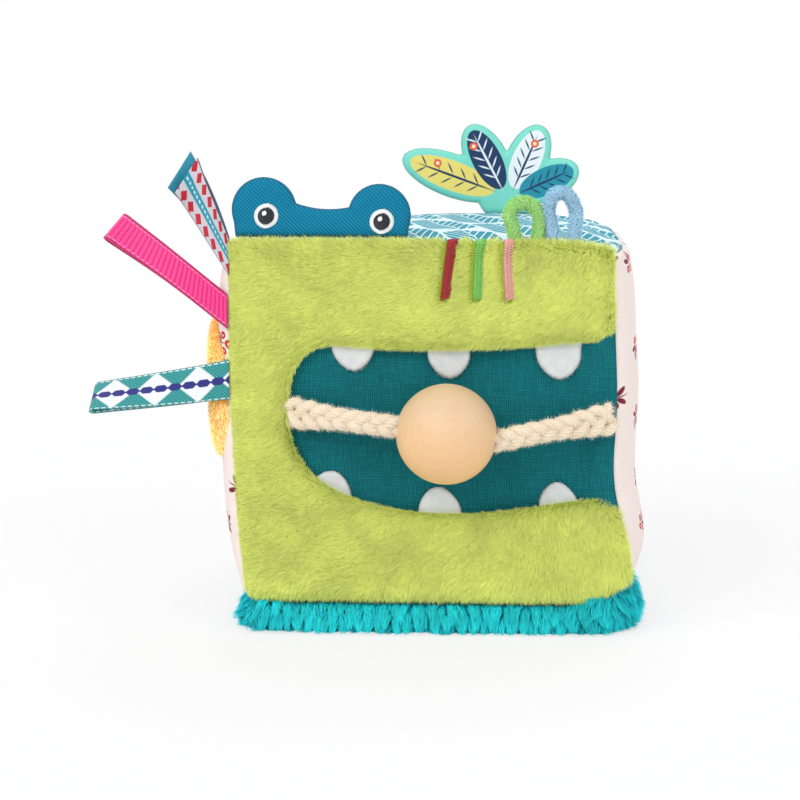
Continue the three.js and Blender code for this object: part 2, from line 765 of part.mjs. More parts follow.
// Cord loops, their legs joined in the seam
loops.forEach((loop, i) => {
  const root = loopRoots[i];
  const leg = loop.legs / 2;
  const wide = loop.width / 2;
  const places = [
    [-leg, 0.9 / loop.height, 0],
    [-leg - (wide - leg) * 0.7, 0.35, 0.2],
    [-wide, 0.64, 0.6],
    [-wide * 0.58, 0.93, 1],
    [0, 1, 1],
    [wide * 0.58, 0.93, 1],
    [wide, 0.64, 0.6],
    [leg + (wide - leg) * 0.7, 0.35, 0.2],
    [leg, 0.9 / loop.height, 0],
  ];
  const points = places.map(([x, up, share]) => {
    return new THREE.Vector3(x + loop.topLean * share, 0, up * loop.height).add(root.centre);
  });
  const route = new THREE.CatmullRomCurve3(points);
  const section = new THREE.Shape();
  section.absarc(0, 0, loopCordDiameter / 2, 0, Math.PI * 2);
  const geometry = new THREE.ExtrudeGeometry(section, {
    steps: 24,
    extrudePath: route,
    curveSegments: 4,
  });
  const cord = solidOf(geometry).add(roundBar(root.from, root.to, loopRootRadius));
  addPiece(loop.name, geometryOf(cord), material(loop.color, 1));
});

// A closed skin over rings of four corners, with flat ends
function skinOf(rings) {
  const corners = rings.flat();
  const faces = [];
  const count = rings[0].length;
  for (let i = 0; i + 1 < rings.length; i += 1) {
    for (let j = 0; j < count; j += 1) {
      const next = (j + 1) % count;
      const a = i * count + j;
      const b = i * count + next;
      faces.push(a, a + count, b, b, a + count, b + count);
    }
  }
  const last = (rings.length - 1) * count;
  for (let j = 1; j + 1 < count; j += 1) {
    faces.push(0, j, j + 1);
    faces.push(last, last + j + 1, last + j);
  }
  const geometry = new THREE.BufferGeometry().setFromPoints(corners);
  geometry.setIndex(faces);
  const solid = solidOf(geometry);
  if (solid.volume() > 0) return solid;
  geometry.setIndex(faces.reverse());
  return solidOf(geometry);
}

// Ribbons: a ruled strip between its two edges, thicker at the fold at its free end
ribbons.forEach((ribbon, i) => {
  const root = ribbonRoots[i];
  const edge = (points) => {
    const places = points.map(([left, ahead, height]) => {
      return new THREE.Vector3(root.centre.x - left, root.centre.y - ahead, height);
    });
    return new THREE.CatmullRomCurve3(places);
  };
  const upper = edge(ribbon.upper);
  const lower = edge(ribbon.lower);
  const rings = [];
  for (let step = 0; step <= ribbonSteps; step += 1) {
    const share = step / ribbonSteps;
    const high = upper.getPoint(share);
    const low = lower.getPoint(share);
    const along = upper.getTangent(share).add(lower.getTangent(share));
    const across = high.clone().sub(low);
    const half = THREE.MathUtils.lerp(ribbonThickness, ribbon.endThickness, share ** 3) / 2;
    const face = along.cross(across).setLength(half);
    const back = face.clone().negate();
    rings.push([
      high.clone().add(face),
      high.clone().add(back),
      low.clone().add(back),
      low.clone().add(face),
    ]);
  }
  const strip = skinOf(rings).add(roundBar(root.from, root.to, ribbonRootRadius));
  addPiece(ribbon.name, geometryOf(strip), material(ribbon.color, 0.7));
});

// Orange velour pad, sewn on the left face
function padGeometry() {
  const halfLength = padLength / 2 - padEdge;
  const halfTall = padHeight / 2 - padEdge;
  const corner = halfTall * 0.75;
  const shape = new THREE.Shape();
  shape.absarc(halfLength - corner, halfTall - corner, corner, 0, Math.PI / 2);
  shape.absarc(corner - halfLength, halfTall - corner, corner, Math.PI / 2, Math.PI);
  shape.absarc(corner - halfLength, corner - halfTall, corner, Math.PI, Math.PI * 1.5);
  shape.absarc(halfLength - corner, corner - halfTall, corner, Math.PI * 1.5, Math.PI * 2);
  const inside = 8;
  const geometry = new THREE.ExtrudeGeometry(shape, {
    depth: crownLeft + padStand + inside - 2 * padEdge,
    bevelThickness: padEdge,
    bevelSize: padEdge,
    bevelSegments: 3,
    curveSegments: 6,
  });
  geometry.rotateX(Math.PI / 2);
  geometry.rotateZ(Math.PI / 2);
  geometry.rotateX(Math.PI);
  const outside = -halfWidth - crownLeft - padStand;
  geometry.computeBoundingBox();
  const shift = outside - geometry.boundingBox.min.x;
  geometry.translate(shift, -halfDepth + padFromFront, padCentreHeight);
  return geometry;
}
const pad = solidOf(padGeometry()).subtract(coverBlock(-clearance));
addPiece("velour_pad", geometryOf(pad, sway), material(0xf8b558, 0.95));

export default cube;
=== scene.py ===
# Soft activity cube: stuffed cloth, a plush face with a mouth, and tags in its seams.
# Blender works in metres here, +Z up, and the mouth faces -Y.
import math

import bmesh
import bpy
import numpy as np
from mathutils import Matrix, Vector, geometry, noise


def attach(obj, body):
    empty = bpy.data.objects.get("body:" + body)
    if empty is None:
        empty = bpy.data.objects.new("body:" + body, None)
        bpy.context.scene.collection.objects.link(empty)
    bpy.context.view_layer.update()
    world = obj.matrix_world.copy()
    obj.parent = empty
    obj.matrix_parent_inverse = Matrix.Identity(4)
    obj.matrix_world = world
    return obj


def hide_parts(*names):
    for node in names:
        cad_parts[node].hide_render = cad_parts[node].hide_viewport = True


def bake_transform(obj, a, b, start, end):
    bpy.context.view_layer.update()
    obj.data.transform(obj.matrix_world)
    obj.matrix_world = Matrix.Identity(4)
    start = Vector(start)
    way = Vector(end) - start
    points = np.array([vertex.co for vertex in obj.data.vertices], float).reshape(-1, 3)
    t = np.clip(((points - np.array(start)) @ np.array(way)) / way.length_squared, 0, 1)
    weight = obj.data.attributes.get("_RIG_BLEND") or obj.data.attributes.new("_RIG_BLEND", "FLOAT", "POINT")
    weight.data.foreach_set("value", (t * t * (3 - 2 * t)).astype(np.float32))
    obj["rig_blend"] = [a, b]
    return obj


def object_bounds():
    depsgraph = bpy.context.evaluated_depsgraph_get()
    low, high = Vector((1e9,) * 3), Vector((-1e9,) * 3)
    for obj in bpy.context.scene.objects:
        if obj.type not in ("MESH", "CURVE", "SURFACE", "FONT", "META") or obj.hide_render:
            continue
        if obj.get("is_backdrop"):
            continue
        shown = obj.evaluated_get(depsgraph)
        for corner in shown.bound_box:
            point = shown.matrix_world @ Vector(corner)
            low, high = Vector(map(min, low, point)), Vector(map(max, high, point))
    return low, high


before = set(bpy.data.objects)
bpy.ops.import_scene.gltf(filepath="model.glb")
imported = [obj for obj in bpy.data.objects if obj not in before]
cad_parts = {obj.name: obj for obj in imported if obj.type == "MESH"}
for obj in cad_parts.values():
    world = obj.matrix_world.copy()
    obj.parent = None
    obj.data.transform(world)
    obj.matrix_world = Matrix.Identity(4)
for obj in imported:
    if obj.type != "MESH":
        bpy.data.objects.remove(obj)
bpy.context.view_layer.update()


# Camera: 0.76 m in front of the cube, a little to the right of it, and looking slightly down.
# A long lens keeps the cube's sides nearly straight.
camera_data = bpy.data.cameras.new("camera")
camera_data.sensor_width = 36
camera_data.lens = 96.69
camera = bpy.data.objects.new("camera", camera_data)
camera.location = (0.0222, -0.7552, 0.1830)
camera.rotation_euler = (math.radians(90 - 8.614), 0, math.radians(2.889))
bpy.context.scene.collection.objects.link(camera)
bpy.context.scene.camera = camera


# Studio: a white floor that keeps the cube's soft shadow, a white surround, and three large
# soft lamps, the brightest at the upper left.
def linear(code):
    """An sRGB hex colour as linear red, green, blue and alpha."""
    channels = [int(code[i : i + 2], 16) / 255 for i in (1, 3, 5)]
    return [c / 12.92 if c <= 0.04045 else ((c + 0.055) / 1.055) ** 2.4 for c in channels] + [1.0]


def add(tree, kind, inputs=None, **settings):
    """Adds a node with its settings. A short kind is a shader node's. An input is a value, a node,
    or a node and its output's name."""
    made = tree.nodes.new(kind if "Node" in kind else "ShaderNode" + kind)
    for name, value in settings.items():
        setattr(made, name, value)
    for name, value in (inputs or {}).items():
        socket = made.inputs[name] if isinstance(name, int) else None
        if socket is None:
            socket = next(s for s in made.inputs if s.enabled and s.name == name)
        source, output = value if isinstance(value, tuple) and len(value) == 2 else (value, None)
        if isinstance(source, bpy.types.Node):
            found = next(s for s in source.outputs if s.enabled and output in (None, s.name))
            tree.links.new(found, socket)
        else:
            socket.default_value = value
    return made


def new_material(name):
    """An empty material, its node tree and its output node."""
    made = bpy.data.materials.new(name)
    made.use_nodes = True
    made.node_tree.nodes.clear()
    return made, made.node_tree, add(made.node_tree, "OutputMaterial")


def looked_at(tree):
    """1 for rays of the camera, of reflections and through clear things, and 0 for the lighting."""
    rays = add(tree, "LightPath")
    seen = add(tree, "Math", {0: (rays, "Is Camera Ray"), 1: (rays, "Is Glossy Ray")})
    return add(tree, "Math", {0: seen, 1: (rays, "Is Transmission Ray")}, use_clamp=True)


scene = bpy.context.scene
scene.view_settings.view_transform = "Standard"

surround = bpy.data.worlds.new("white_surround")
scene.world = surround
surround.use_nodes = True
sky = surround.node_tree
sky.nodes.clear()
room = add(sky, "Background", {"Color": linear("#f4f6fa"), "Strength": 0.66})
white = add(sky, "Background", {"Color": (1, 1, 1, 1), "Strength": 1.0})
mixed = add(sky, "MixShader", {0: looked_at(sky), 1: room, 2: white})
add(sky, "OutputWorld", {"Surface": mixed})

# Matt paper: it takes the soft shadow of the cube near it, and is plain white farther off
floor_paper, tree, output = new_material("matt_white_paper")
place = add(tree, "TexCoord")
far = add(tree, "VectorMath", {0: (place, "Object")}, operation="LENGTH")
share = add(
    tree, "MapRange",
    {"Value": (far, "Value"), "From Min": 0.12, "From Max": 0.5, "To Min": 0.72, "To Max": 1.0}
)
share = add(tree, "Math", {0: share, 1: looked_at(tree)}, operation="MULTIPLY")
glow = add(tree, "Emission", {"Color": (1, 1, 1, 1), "Strength": 1.0})
matt = add(tree, "BsdfDiffuse", {"Color": linear("#eeeeee")})
paper = add(tree, "MixShader", {0: share, 1: matt, 2: glow})
tree.links.new(paper.outputs[0], output.inputs["Surface"])

floor_mesh = bmesh.new()
bmesh.ops.create_circle(floor_mesh, cap_ends=True, segments=64, radius=6)
floor_data = bpy.data.meshes.new("floor")
floor_mesh.to_mesh(floor_data)
floor_mesh.free()
floor_data.materials.append(floor_paper)
floor = bpy.data.objects.new("floor", floor_data)
scene.collection.objects.link(floor)
floor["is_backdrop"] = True

for name, place, size, power in (
    ("key_lamp", (-0.85, -1.0, 1.15), 1.1, 14.0),
    ("fill_lamp", (1.1, -0.9, 0.7), 1.2, 6.0),
    ("rear_lamp", (0.3, 1.1, 1.3), 1.2, 8.0),
):
    lamp_data = bpy.data.lights.new(name, "AREA")
    lamp_data.size = size
    lamp_data.energy = power
    lamp = bpy.data.objects.new(name, lamp_data)
    lamp.location = place
    lamp.rotation_euler = (Vector((0, 0, 0.07)) - Vector(place)).to_track_quat("-Z", "Y").to_euler()
    scene.collection.objects.link(lamp)


# Bead cord: soft unbleached cotton in a plait of three strands, 7.4 mm thick. It is sewn flat
# into both sides of the mouth, and the bead hangs on it. Its yarns give it a furry outline.

# The cover that it is sewn to: the flat-sided box that its cloth was cut for, in millimetres, how
# far each face bulges, and how the stuffed box leans, spreads at its foot and sags at a corner.
half_width, half_depth, half_height = 62.5, 63.0, 59.8
cover_bottom, cover_middle, cover_top = 10.5, 70.3, 130.1
left_bulge, right_bulge, front_bulge, rear_bulge, top_bulge = 6.0, 8.6, 1.8, 4.0, 2.2
cover_lean, cover_flare, cover_sag, cover_lift, cover_waist = 6.6, 4.4, 2.5, 7.5, 3.0


def smooth_step(low, high, value):
    """0 below low, 1 above high, and a smooth rise between them."""
    share = max(0.0, min(1.0, (value - low) / (high - low)))
    return share * share * (3 - 2 * share)


def stuffed(x, y, z):
    """A place of the flat-sided box, in millimetres, as it is on the stuffed cube, in metres."""
    u = max(-1, min(1, x / half_width))
    v = max(-1, min(1, y / half_depth))
    w = max(-1, min(1, (z - cover_middle) / half_height))
    fade_u, fade_v, fade_w = 1 - abs(u) ** 3, 1 - abs(v) ** 3, 1 - abs(w) ** 3
    crown = right_bulge * (1 - (0.28 if w > 0 else 1) * w**6) if u > 0 else -left_bulge * (1 - w**6)
    x += crown * u * u * (1 - v**6)
    y += (rear_bulge if v > 0 else -front_bulge) * v * v * fade_u * fade_w
    z += (top_bulge * w * w if w > 0 else 0) * fade_u * fade_v
    x -= cover_waist * math.exp(-(((z - 52) / 19) ** 2)) * smooth_step(30, half_width, x)
    front_right = smooth_step(44, half_width, x) ** 2 * smooth_step(0, -half_depth, y)
    z += cover_lift * front_right * (1 - smooth_step(0, 32, z - cover_bottom))
    fall = max(0, min(1, (cover_top - z) / (2 * half_height)))
    corner = min(1, max(0, x / half_width) ** 8)
    x = x * (1 + cover_flare / (2 * half_width) * fall) - cover_lean * (1 - fall * fall)
    return Vector((x, y, z - cover_sag * corner * (1 - fall) ** 3)) / 1000


def put_in_scene(name, mesh, body, materials, smooth=True):
    """An object of a mesh or a bmesh, riding on its body."""
    if isinstance(mesh, bmesh.types.BMesh):
        built = bpy.data.meshes.new(name)
        mesh.to_mesh(built)
        mesh.free()
        mesh = built
    for material in materials:
        mesh.materials.append(material)
    if smooth:
        mesh.shade_smooth()
    made = bpy.data.objects.new(name, mesh)
    scene.collection.objects.link(made)
    if body:
        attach(made, body)
    return made


def outward(bm):
    """Turns the faces of a closed shell outwards."""
    bmesh.ops.recalc_face_normals(bm, faces=bm.faces)
    if bm.calc_volume(signed=True) < 0:
        bmesh.ops.reverse_faces(bm, faces=bm.faces)


def settle(obj):
    """Applies the modifiers of an object to its mesh."""
    bpy.context.view_layer.update()
    depsgraph = bpy.context.evaluated_depsgraph_get()
    finished = bpy.data.meshes.new_from_object(obj.evaluated_get(depsgraph), depsgraph=depsgraph)
    finished.shade_smooth()
    obj.modifiers.clear()
    obj.data = finished


def smooth_path(points, count):
    """Evenly spaced places on a smooth line through the points."""
    ends = [2 * points[0] - points[1], *points, 2 * points[-1] - points[-2]]
    dense = []
    for a, b, c, d in zip(ends, ends[1:], ends[2:], ends[3:]):
        for t in (i / 12 for i in range(12)):
            bend = (2 * a - 5 * b + 4 * c - d) * t * t + (3 * b - a - 3 * c + d) * t**3
            dense.append(0.5 * (2 * b + (c - a) * t + bend))
    dense.append(points[-1])
    run = [0.0]
    for a, b in zip(dense, dense[1:]):
        run.append(run[-1] + (b - a).length)
    even, j = [], 0
    for target in (run[-1] * i / (count - 1) for i in range(count)):
        while j < len(run) - 2 and run[j + 1] < target:
            j += 1
        share = (target - run[j]) / max(run[j + 1] - run[j], 1e-12)
        even.append(dense[j].lerp(dense[j + 1], min(share, 1)))
    return even


def fibre(name, length, width, bow, material):
    """One tapered fibre of pile, standing on Z and bowed towards X, in millimetres. It is a blade,
    and coarser than a real one, so that it shows."""
    bm = bmesh.new()
    along = bm.verts.layers.float.new("along")
    spots = ((0, -0.5, 0), (0, 0.5, 0), (bow, 0.42, 0.5), (bow, -0.42, 0.5), (0, 0, 1))
    verts = [
        bm.verts.new((x * length / 1000, y * width / 1000, z * length / 1000)) for x, y, z in spots
    ]
    for vert, spot in zip(verts, spots):
        vert[along] = spot[2]
    bm.faces.new(verts[:4])
    bm.faces.new((verts[3], verts[2], verts[4]))
    made = put_in_scene(name, bm, None, [material])
    scene.collection.objects.unlink(made)
    return made


def grow_pile(name, cloth, blade, per_mm2, tuft_mm2, gather, stray, seed, body):
    """A piece of pile: fibres that stand in a cloth, so many to a square millimetre, lie along the
    nap that the cloth carries, and lean together in tufts."""
    tree = bpy.data.node_groups.new(name, "GeometryNodeTree")
    tree.interface.new_socket("Geometry", in_out="INPUT", socket_type="NodeSocketGeometry")
    tree.interface.new_socket("Geometry", in_out="OUTPUT", socket_type="NodeSocketGeometry")
    base = add(tree, "NodeGroupInput")
    length = add(tree, "GeometryNodeInputNamedAttribute", {"Name": "pile"}, data_type="FLOAT")
    nap = add(tree, "GeometryNodeInputNamedAttribute", {"Name": "nap"}, data_type="FLOAT_VECTOR")
    density = add(tree, "Math", {0: length, 1: per_mm2 * 1e6}, operation="MULTIPLY")
    roots = add(
        tree, "GeometryNodeDistributePointsOnFaces", {"Mesh": base, "Density": density, "Seed": seed}
    )
    tufts = add(
        tree, "GeometryNodeDistributePointsOnFaces",
        {"Mesh": base, "Density": tuft_mm2 * 1e6, "Seed": 1}
    )
    place = add(tree, "GeometryNodeInputPosition")
    nearest = add(
        tree, "GeometryNodeSampleNearest", {"Geometry": (tufts, "Points"), "Sample Position": place},
        domain="POINT"
    )
    centre = add(
        tree, "GeometryNodeSampleIndex",
        {"Geometry": (tufts, "Points"), "Value": place, "Index": nearest}, data_type="FLOAT_VECTOR",
        domain="POINT"
    )
    to_tuft = add(tree, "VectorMath", {0: centre, 1: place}, operation="SUBTRACT")
    to_tuft = add(tree, "VectorMath", {0: to_tuft, "Scale": gather}, operation="SCALE")
    of_tuft = add(
        tree, "FunctionNodeRandomValue",
        {"Min": (-stray, -stray, -stray), "Max": (stray, stray, stray), "ID": nearest, "Seed": 2},
        data_type="FLOAT_VECTOR"
    )
    of_own = add(
        tree, "FunctionNodeRandomValue",
        {"Min": (-stray, -stray, -stray), "Max": (stray, stray, stray), "Seed": seed + 3},
        data_type="FLOAT_VECTOR"
    )
    aim = add(tree, "VectorMath", {0: nap, 1: to_tuft}, operation="ADD")
    aim = add(tree, "VectorMath", {0: aim, 1: of_tuft}, operation="ADD")
    aim = add(tree, "VectorMath", {0: aim, 1: of_own}, operation="ADD")
    turn = add(tree, "FunctionNodeAlignRotationToVector", {"Vector": aim}, axis="Z")
    turn = add(
        tree, "FunctionNodeAlignRotationToVector", {"Rotation": turn, "Vector": (roots, "Normal")},
        axis="X", pivot_axis="Z"
    )
    roll = add(
        tree, "FunctionNodeRandomValue", {"Min": (0, 0, -0.8), "Max": (0, 0, 0.8), "Seed": seed + 4},
        data_type="FLOAT_VECTOR"
    )
    turn = add(
        tree, "FunctionNodeRotateRotation", {"Rotation": turn, "Rotate By": roll},
        rotation_space="LOCAL"
    )
    size = add(
        tree, "FunctionNodeRandomValue", {"Min": 0.7, "Max": 1.15, "Seed": seed + 5}, data_type="FLOAT"
    )
    size = add(tree, "Math", {0: size, 1: length}, operation="MULTIPLY")
    source = add(tree, "GeometryNodeObjectInfo", {"Object": blade})
    placed = add(
        tree, "GeometryNodeInstanceOnPoints",
        {"Points": (roots, "Points"), "Instance": (source, "Geometry"), "Rotation": turn, "Scale": size}
    )
    shade_own = add(
        tree, "FunctionNodeRandomValue", {"Min": 0.0, "Max": 0.45, "Seed": seed + 6}, data_type="FLOAT"
    )
    shade_tuft = add(
        tree, "FunctionNodeRandomValue", {"Min": 0.0, "Max": 0.55, "ID": nearest, "Seed": 3},
        data_type="FLOAT"
    )
    shade = add(tree, "Math", {0: shade_own, 1: shade_tuft})
    marked = add(
        tree, "GeometryNodeStoreNamedAttribute",
        {"Geometry": (roots, "Points"), "Name": "shade", "Value": shade}, data_type="FLOAT",
        domain="POINT"
    )
    tree.links.new(marked.outputs[0], placed.inputs["Points"])
    whole = add(tree, "GeometryNodeRealizeInstances", {"Geometry": placed})
    tree.links.new(whole.outputs[0], add(tree, "NodeGroupOutput").inputs[0])
    pile = put_in_scene(name, cloth.data.copy(), None, [])
    grown = pile.modifiers.new("pile", "NODES")
    grown.node_group = tree
    settle(pile)
    if body:
        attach(pile, body)
    return pile


def comb(obj, nap_of, pile_of):
    """Writes the nap and the pile length on a cloth. Both are functions of a vertex."""
    layers = obj.data.attributes
    layers.new("nap", "FLOAT_VECTOR", "POINT")
    layers.new("pile", "FLOAT", "POINT")
    naps, piles = layers["nap"].data, layers["pile"].data
    for vertex in obj.data.vertices:
        naps[vertex.index].vector = nap_of(vertex)
        piles[vertex.index].value = pile_of(vertex)


def dyed(tree, base, mask, code):
    """A colour mixed into another one, and in its place where the mask is 1."""
    return add(tree, "Mix", {"Factor": mask, "A": base, "B": linear(code)}, data_type="RGBA")


def pile_material(name, root, tip, dark, light):
    """Fibres that are darker at the root and paler at the tip, painted shade deep in the pile and painted
    light on the tips, uneven from tuft to tuft, and lighter or darker in broad patches, painted shading of
    the brushed nap.
    """
    made, tree, output = new_material(name)
    along = add(tree, "Attribute", attribute_name="along")
    shade = add(tree, "Attribute", attribute_name="shade")
    # Painted shade and light: the root colour stands for the shade deep in the pile, and the tip colour for
    # the light on the tips
    colour = dyed(tree, linear(root), (along, "Fac"), tip)
    level = add(tree, "MapRange", {0: (shade, "Fac"), 3: dark, 4: light})
    place = add(tree, "TexCoord")
    # Painted shading: broad random patches lighter and darker, as brushed pile turns its nap to the light
    painted_nap_shading = add(tree, "TexNoise", {"Vector": (place, "Object"), "Scale": 90.0, "Detail": 4.0})
    painted_nap_shading = add(
        tree, "MapRange",
        {"Value": (painted_nap_shading, "Fac"), "From Min": 0.3, "From Max": 0.7, "To Min": 0.9, "To Max": 1.1}
    )
    level = add(tree, "Math", {0: level, 1: painted_nap_shading}, operation="MULTIPLY")
    shaded = add(tree, "VectorMath", {0: (colour, "Result"), "Scale": level}, operation="SCALE")
    skin = add(
        tree, "BsdfPrincipled", {"Base Color": shaded, "Roughness": 0.85, "Specular IOR Level": 0.2}
    )
    tree.links.new(skin.outputs[0], output.inputs["Surface"])
    return made


def finish_skin(tree, output, colour, roughness, height, strength, depth, values=None):
    """Ends a material: its colour and roughness, a relief of this depth in millimetres, and other
    values of the surface."""
    relief = {"Strength": strength, "Distance": depth / 1000, "Height": height}
    skin = {"Base Color": colour, "Roughness": roughness, "Normal": add(tree, "Bump", relief)}
    made = add(tree, "BsdfPrincipled", {**skin, **(values or {})})
    tree.links.new(made.outputs[0], output.inputs["Surface"])


def in_front(x, z, depth):
    """A place this deep under the flat front of the cover, in millimetres, as it stands."""
    return stuffed(x, -half_depth + depth, z)


cord_depth = 4.9
bead_centre = in_front(7.5, 69.0, cord_depth) - Vector((0, 0.0163, 0))
cord_left = in_front(-43.0, 73.2, cord_depth) + Vector((0, -0.0010, 0))
cord_right = Vector((0.0567, -0.0632, 0.0726))

# Unbleached cotton yarn: dull, soft, and uneven in tone. The loose fibres on it are paler.
cotton_cord, tree, output = new_material("plaited_cotton")
place = add(tree, "TexCoord")
fine = add(tree, "TexNoise", {"Vector": (place, "Object"), "Scale": 900.0, "Detail": 3.0})
broad = add(tree, "TexNoise", {"Vector": (place, "Object"), "Scale": 160.0, "Detail": 2.0})
tone = dyed(tree, linear("#e6d2b6"), (broad, "Fac"), "#fff8ea")
tone = dyed(tree, tone, (fine, "Fac"), "#f3dfc2")
finish_skin(tree, output, tone, 0.9, (fine, "Fac"), 0.5, 0.4, {"Specular IOR Level": 0.2})

yarn_fluff = pile_material("cotton_fluff", "#f2e2c8", "#fffaf0", 1.0, 1.2)


def strand_section(name, radius, lobes, points):
    """The cross-section of a strand: a ring with a lobe for each yarn."""
    ring = bpy.data.curves.new(name, "CURVE")
    ring.dimensions = "3D"
    line = ring.splines.new("POLY")
    line.points.add(points - 1)
    line.use_cyclic_u = True
    for i, point in enumerate(line.points):
        angle = 2 * math.pi * i / points
        reach = radius * (0.78 + 0.22 * abs(math.sin(lobes * angle / 2)) ** 0.6) / 1000
        point.co = (reach * math.cos(angle), reach * math.sin(angle), 0, 1)
    return bpy.data.objects.new(name, ring)


def laid_strand(lines, section, twist):
    """A mesh of strands: one closed tube along each line, its yarns turning once per twist metres."""
    bent = bpy.data.curves.new("strands", "CURVE")
    bent.dimensions = "3D"
    bent.bevel_mode = "OBJECT"
    bent.bevel_object = section
    bent.use_fill_caps = True
    for points in lines:
        line = bent.splines.new("POLY")
        line.points.add(len(points) - 1)
        run = 0.0
        for i, (place, thickness) in enumerate(points):
            run += (place - points[max(i - 1, 0)][0]).length
            line.points[i].co = (*place, 1)
            line.points[i].tilt = 2 * math.pi * run / twist
            line.points[i].radius = thickness
    holder = bpy.data.objects.new("strands", bent)
    scene.collection.objects.link(holder)
    bpy.context.view_layer.update()
    depsgraph = bpy.context.evaluated_depsgraph_get()
    mesh = bpy.data.meshes.new_from_object(holder.evaluated_get(depsgraph), depsgraph=depsgraph)
    bpy.data.objects.remove(holder)
    bm = bmesh.new()
    bm.from_mesh(mesh)
    bmesh.ops.remove_doubles(bm, verts=bm.verts, dist=1e-6)
    outward(bm)
    bm.to_mesh(mesh)
    bm.free()
    return mesh


def plait(route, start, period, reach):
    """Three lines that plait round a route. They are flat at its first point, and round 22 mm on."""
    lines = [[], [], []]
    run = start
    for i, here in enumerate(route):
        run += (here - route[max(i - 1, 0)]).length
        along = (route[min(i + 1, len(route) - 1)] - route[max(i - 1, 0)]).normalized()
        front = Vector((0, -1, 0))
        front = (front - along * front.dot(along)).normalized()
        across = along.cross(front)
        flat = 1 - smooth_step(0.001, 0.022, (here - route[0]).length)
        for k in range(3):
            angle = 2 * math.pi * (run / period + k / 3)
            side = across * reach * (1 + 1.15 * flat) * math.sin(angle)
            depth = front * reach * (0.62 - 0.34 * flat) * math.sin(2 * angle)
            lines[k].append((here + side + depth, 1 - 0.12 * flat))
    return lines


cord_section = strand_section("cord_section", 2.05, 8, 48)
bead_tilt = math.radians(8)
bore = Vector((math.cos(bead_tilt), 0, -math.sin(bead_tilt)))
bore_left, bore_right = bead_centre - bore * 0.015, bead_centre + bore * 0.015
fluff = fibre("cotton_fibre", 1.3, 0.07, 0.3, yarn_fluff)
for name, end, mouth_of_bore, way in (
    ("cord_left_half", cord_left, bore_left, -1),
    ("cord_right_half", cord_right, bore_right, 1),
):
    hanging = [end.lerp(mouth_of_bore, share) for share in (0.35, 0.7)]
    route = smooth_path(
        [end, *hanging, mouth_of_bore, bead_centre + way * bore * 0.006, bead_centre], 76
    )
    half = put_in_scene(
        name, laid_strand(plait(route, 0.004, 0.0165, 0.00172), cord_section, 0.0125), None,
        [cotton_cord]
    )
    comb(half, lambda v: v.normal + Vector((0.7, 0, -0.2)), lambda v: 1.0)
    fuzz = grow_pile(name + "_fluff", half, fluff, 3.6, 0.4, 0, 0.8, 11, None)
    length = sum((b - a).length for a, b in zip(route, route[1:]))
    for piece in (half, fuzz):
        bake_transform(piece, "cube", "bead", start=route[0], end=bead_centre)
    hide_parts("bead_cord")


# Bead: turned beech, 32.4 mm across, bored through for the cord, sanded smooth and oiled. It hangs
# on the cord, a little askew.

# Oiled beech: a satin sheen on fine darker grain, paler on its upper side and warmer orange below as painted
# light and shade, with broad rings of the wood mixed in
beech, tree, output = new_material("oiled_beech")
place = add(tree, "TexCoord")
laid = add(
    tree, "Mapping",
    {"Vector": (place, "Object"), "Rotation": (0.3, 0.5, 0.2), "Scale": (160, 900, 220)}
)
grain = add(tree, "TexNoise", {"Vector": laid, "Scale": 1.0, "Detail": 4.0, "Distortion": 0.4})
wide = add(
    tree, "Mapping", {"Vector": (place, "Object"), "Rotation": (0.3, 0.5, 0.2), "Scale": (40, 130, 50)}
)
rings = add(tree, "TexNoise", {"Vector": wide, "Scale": 1.0, "Detail": 2.0})
# Painted light and shade: from the foot of the bead to its top the colour runs from warm orange to a paler
# tone, and broad rings of the wood are mixed in
height = add(tree, "SeparateXYZ", {"Vector": (place, "Object")})
height = add(
    tree, "MapRange",
    {"Value": (height, "Z"), "From Min": bead_centre.z - 0.016, "From Max": bead_centre.z + 0.012}
)
height = add(tree, "Math", {0: (rings, "Fac"), 1: 0.3, 2: height}, operation="MULTIPLY_ADD")
tone = dyed(tree, linear("#ffc784"), height, "#e2c09a")
deep = add(
    tree, "MapRange", {"Value": (grain, "Fac"), "From Min": 0.48, "From Max": 0.8, "To Max": 0.28}
)
tone = dyed(tree, tone, deep, "#dba067")
oil = {"Specular IOR Level": 0.35, "Coat Weight": 0.08, "Coat Roughness": 0.35}
finish_skin(tree, output, tone, 0.5, (grain, "Fac"), 0.12, 0.2, oil)

bead_radius, bore_radius, rim_radius = 16.2, 4.05, 0.35
bead_mesh = bmesh.new()
rim_angle = math.asin((bore_radius + rim_radius) / (bead_radius - rim_radius))
rim_middle = (bead_radius - rim_radius) * math.cos(rim_angle)
profile = []
for i in range(6):
    angle = (math.pi / 2 + rim_angle) * i / 5 - math.pi / 2
    lip = bore_radius + rim_radius + rim_radius * math.sin(angle)
    profile.append((rim_middle + rim_radius * math.cos(angle), lip))
for i in range(1, 40):
    angle = rim_angle + (math.pi - 2 * rim_angle) * i / 40
    profile.append((bead_radius * math.cos(angle), bead_radius * math.sin(angle)))
profile += [(-x, r) for x, r in reversed(profile[:6])]
profile_verts = [bead_mesh.verts.new((x / 1000, 0, r / 1000)) for x, r in profile]
for a, b in zip(profile_verts, profile_verts[1:] + profile_verts[:1]):
    bead_mesh.edges.new((a, b))
bmesh.ops.spin(
    bead_mesh, geom=bead_mesh.verts[:] + bead_mesh.edges[:], cent=(0, 0, 0), axis=(1, 0, 0),
    angle=2 * math.pi, steps=72, use_merge=True
)
outward(bead_mesh)
bmesh.ops.rotate(bead_mesh, verts=bead_mesh.verts, matrix=Matrix.Rotation(bead_tilt, 3, "Y"))
bmesh.ops.translate(bead_mesh, verts=bead_mesh.verts, vec=bead_centre)
bead = put_in_scene("beech_bead", bead_mesh, "bead", [beech])
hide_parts("wooden_bead")
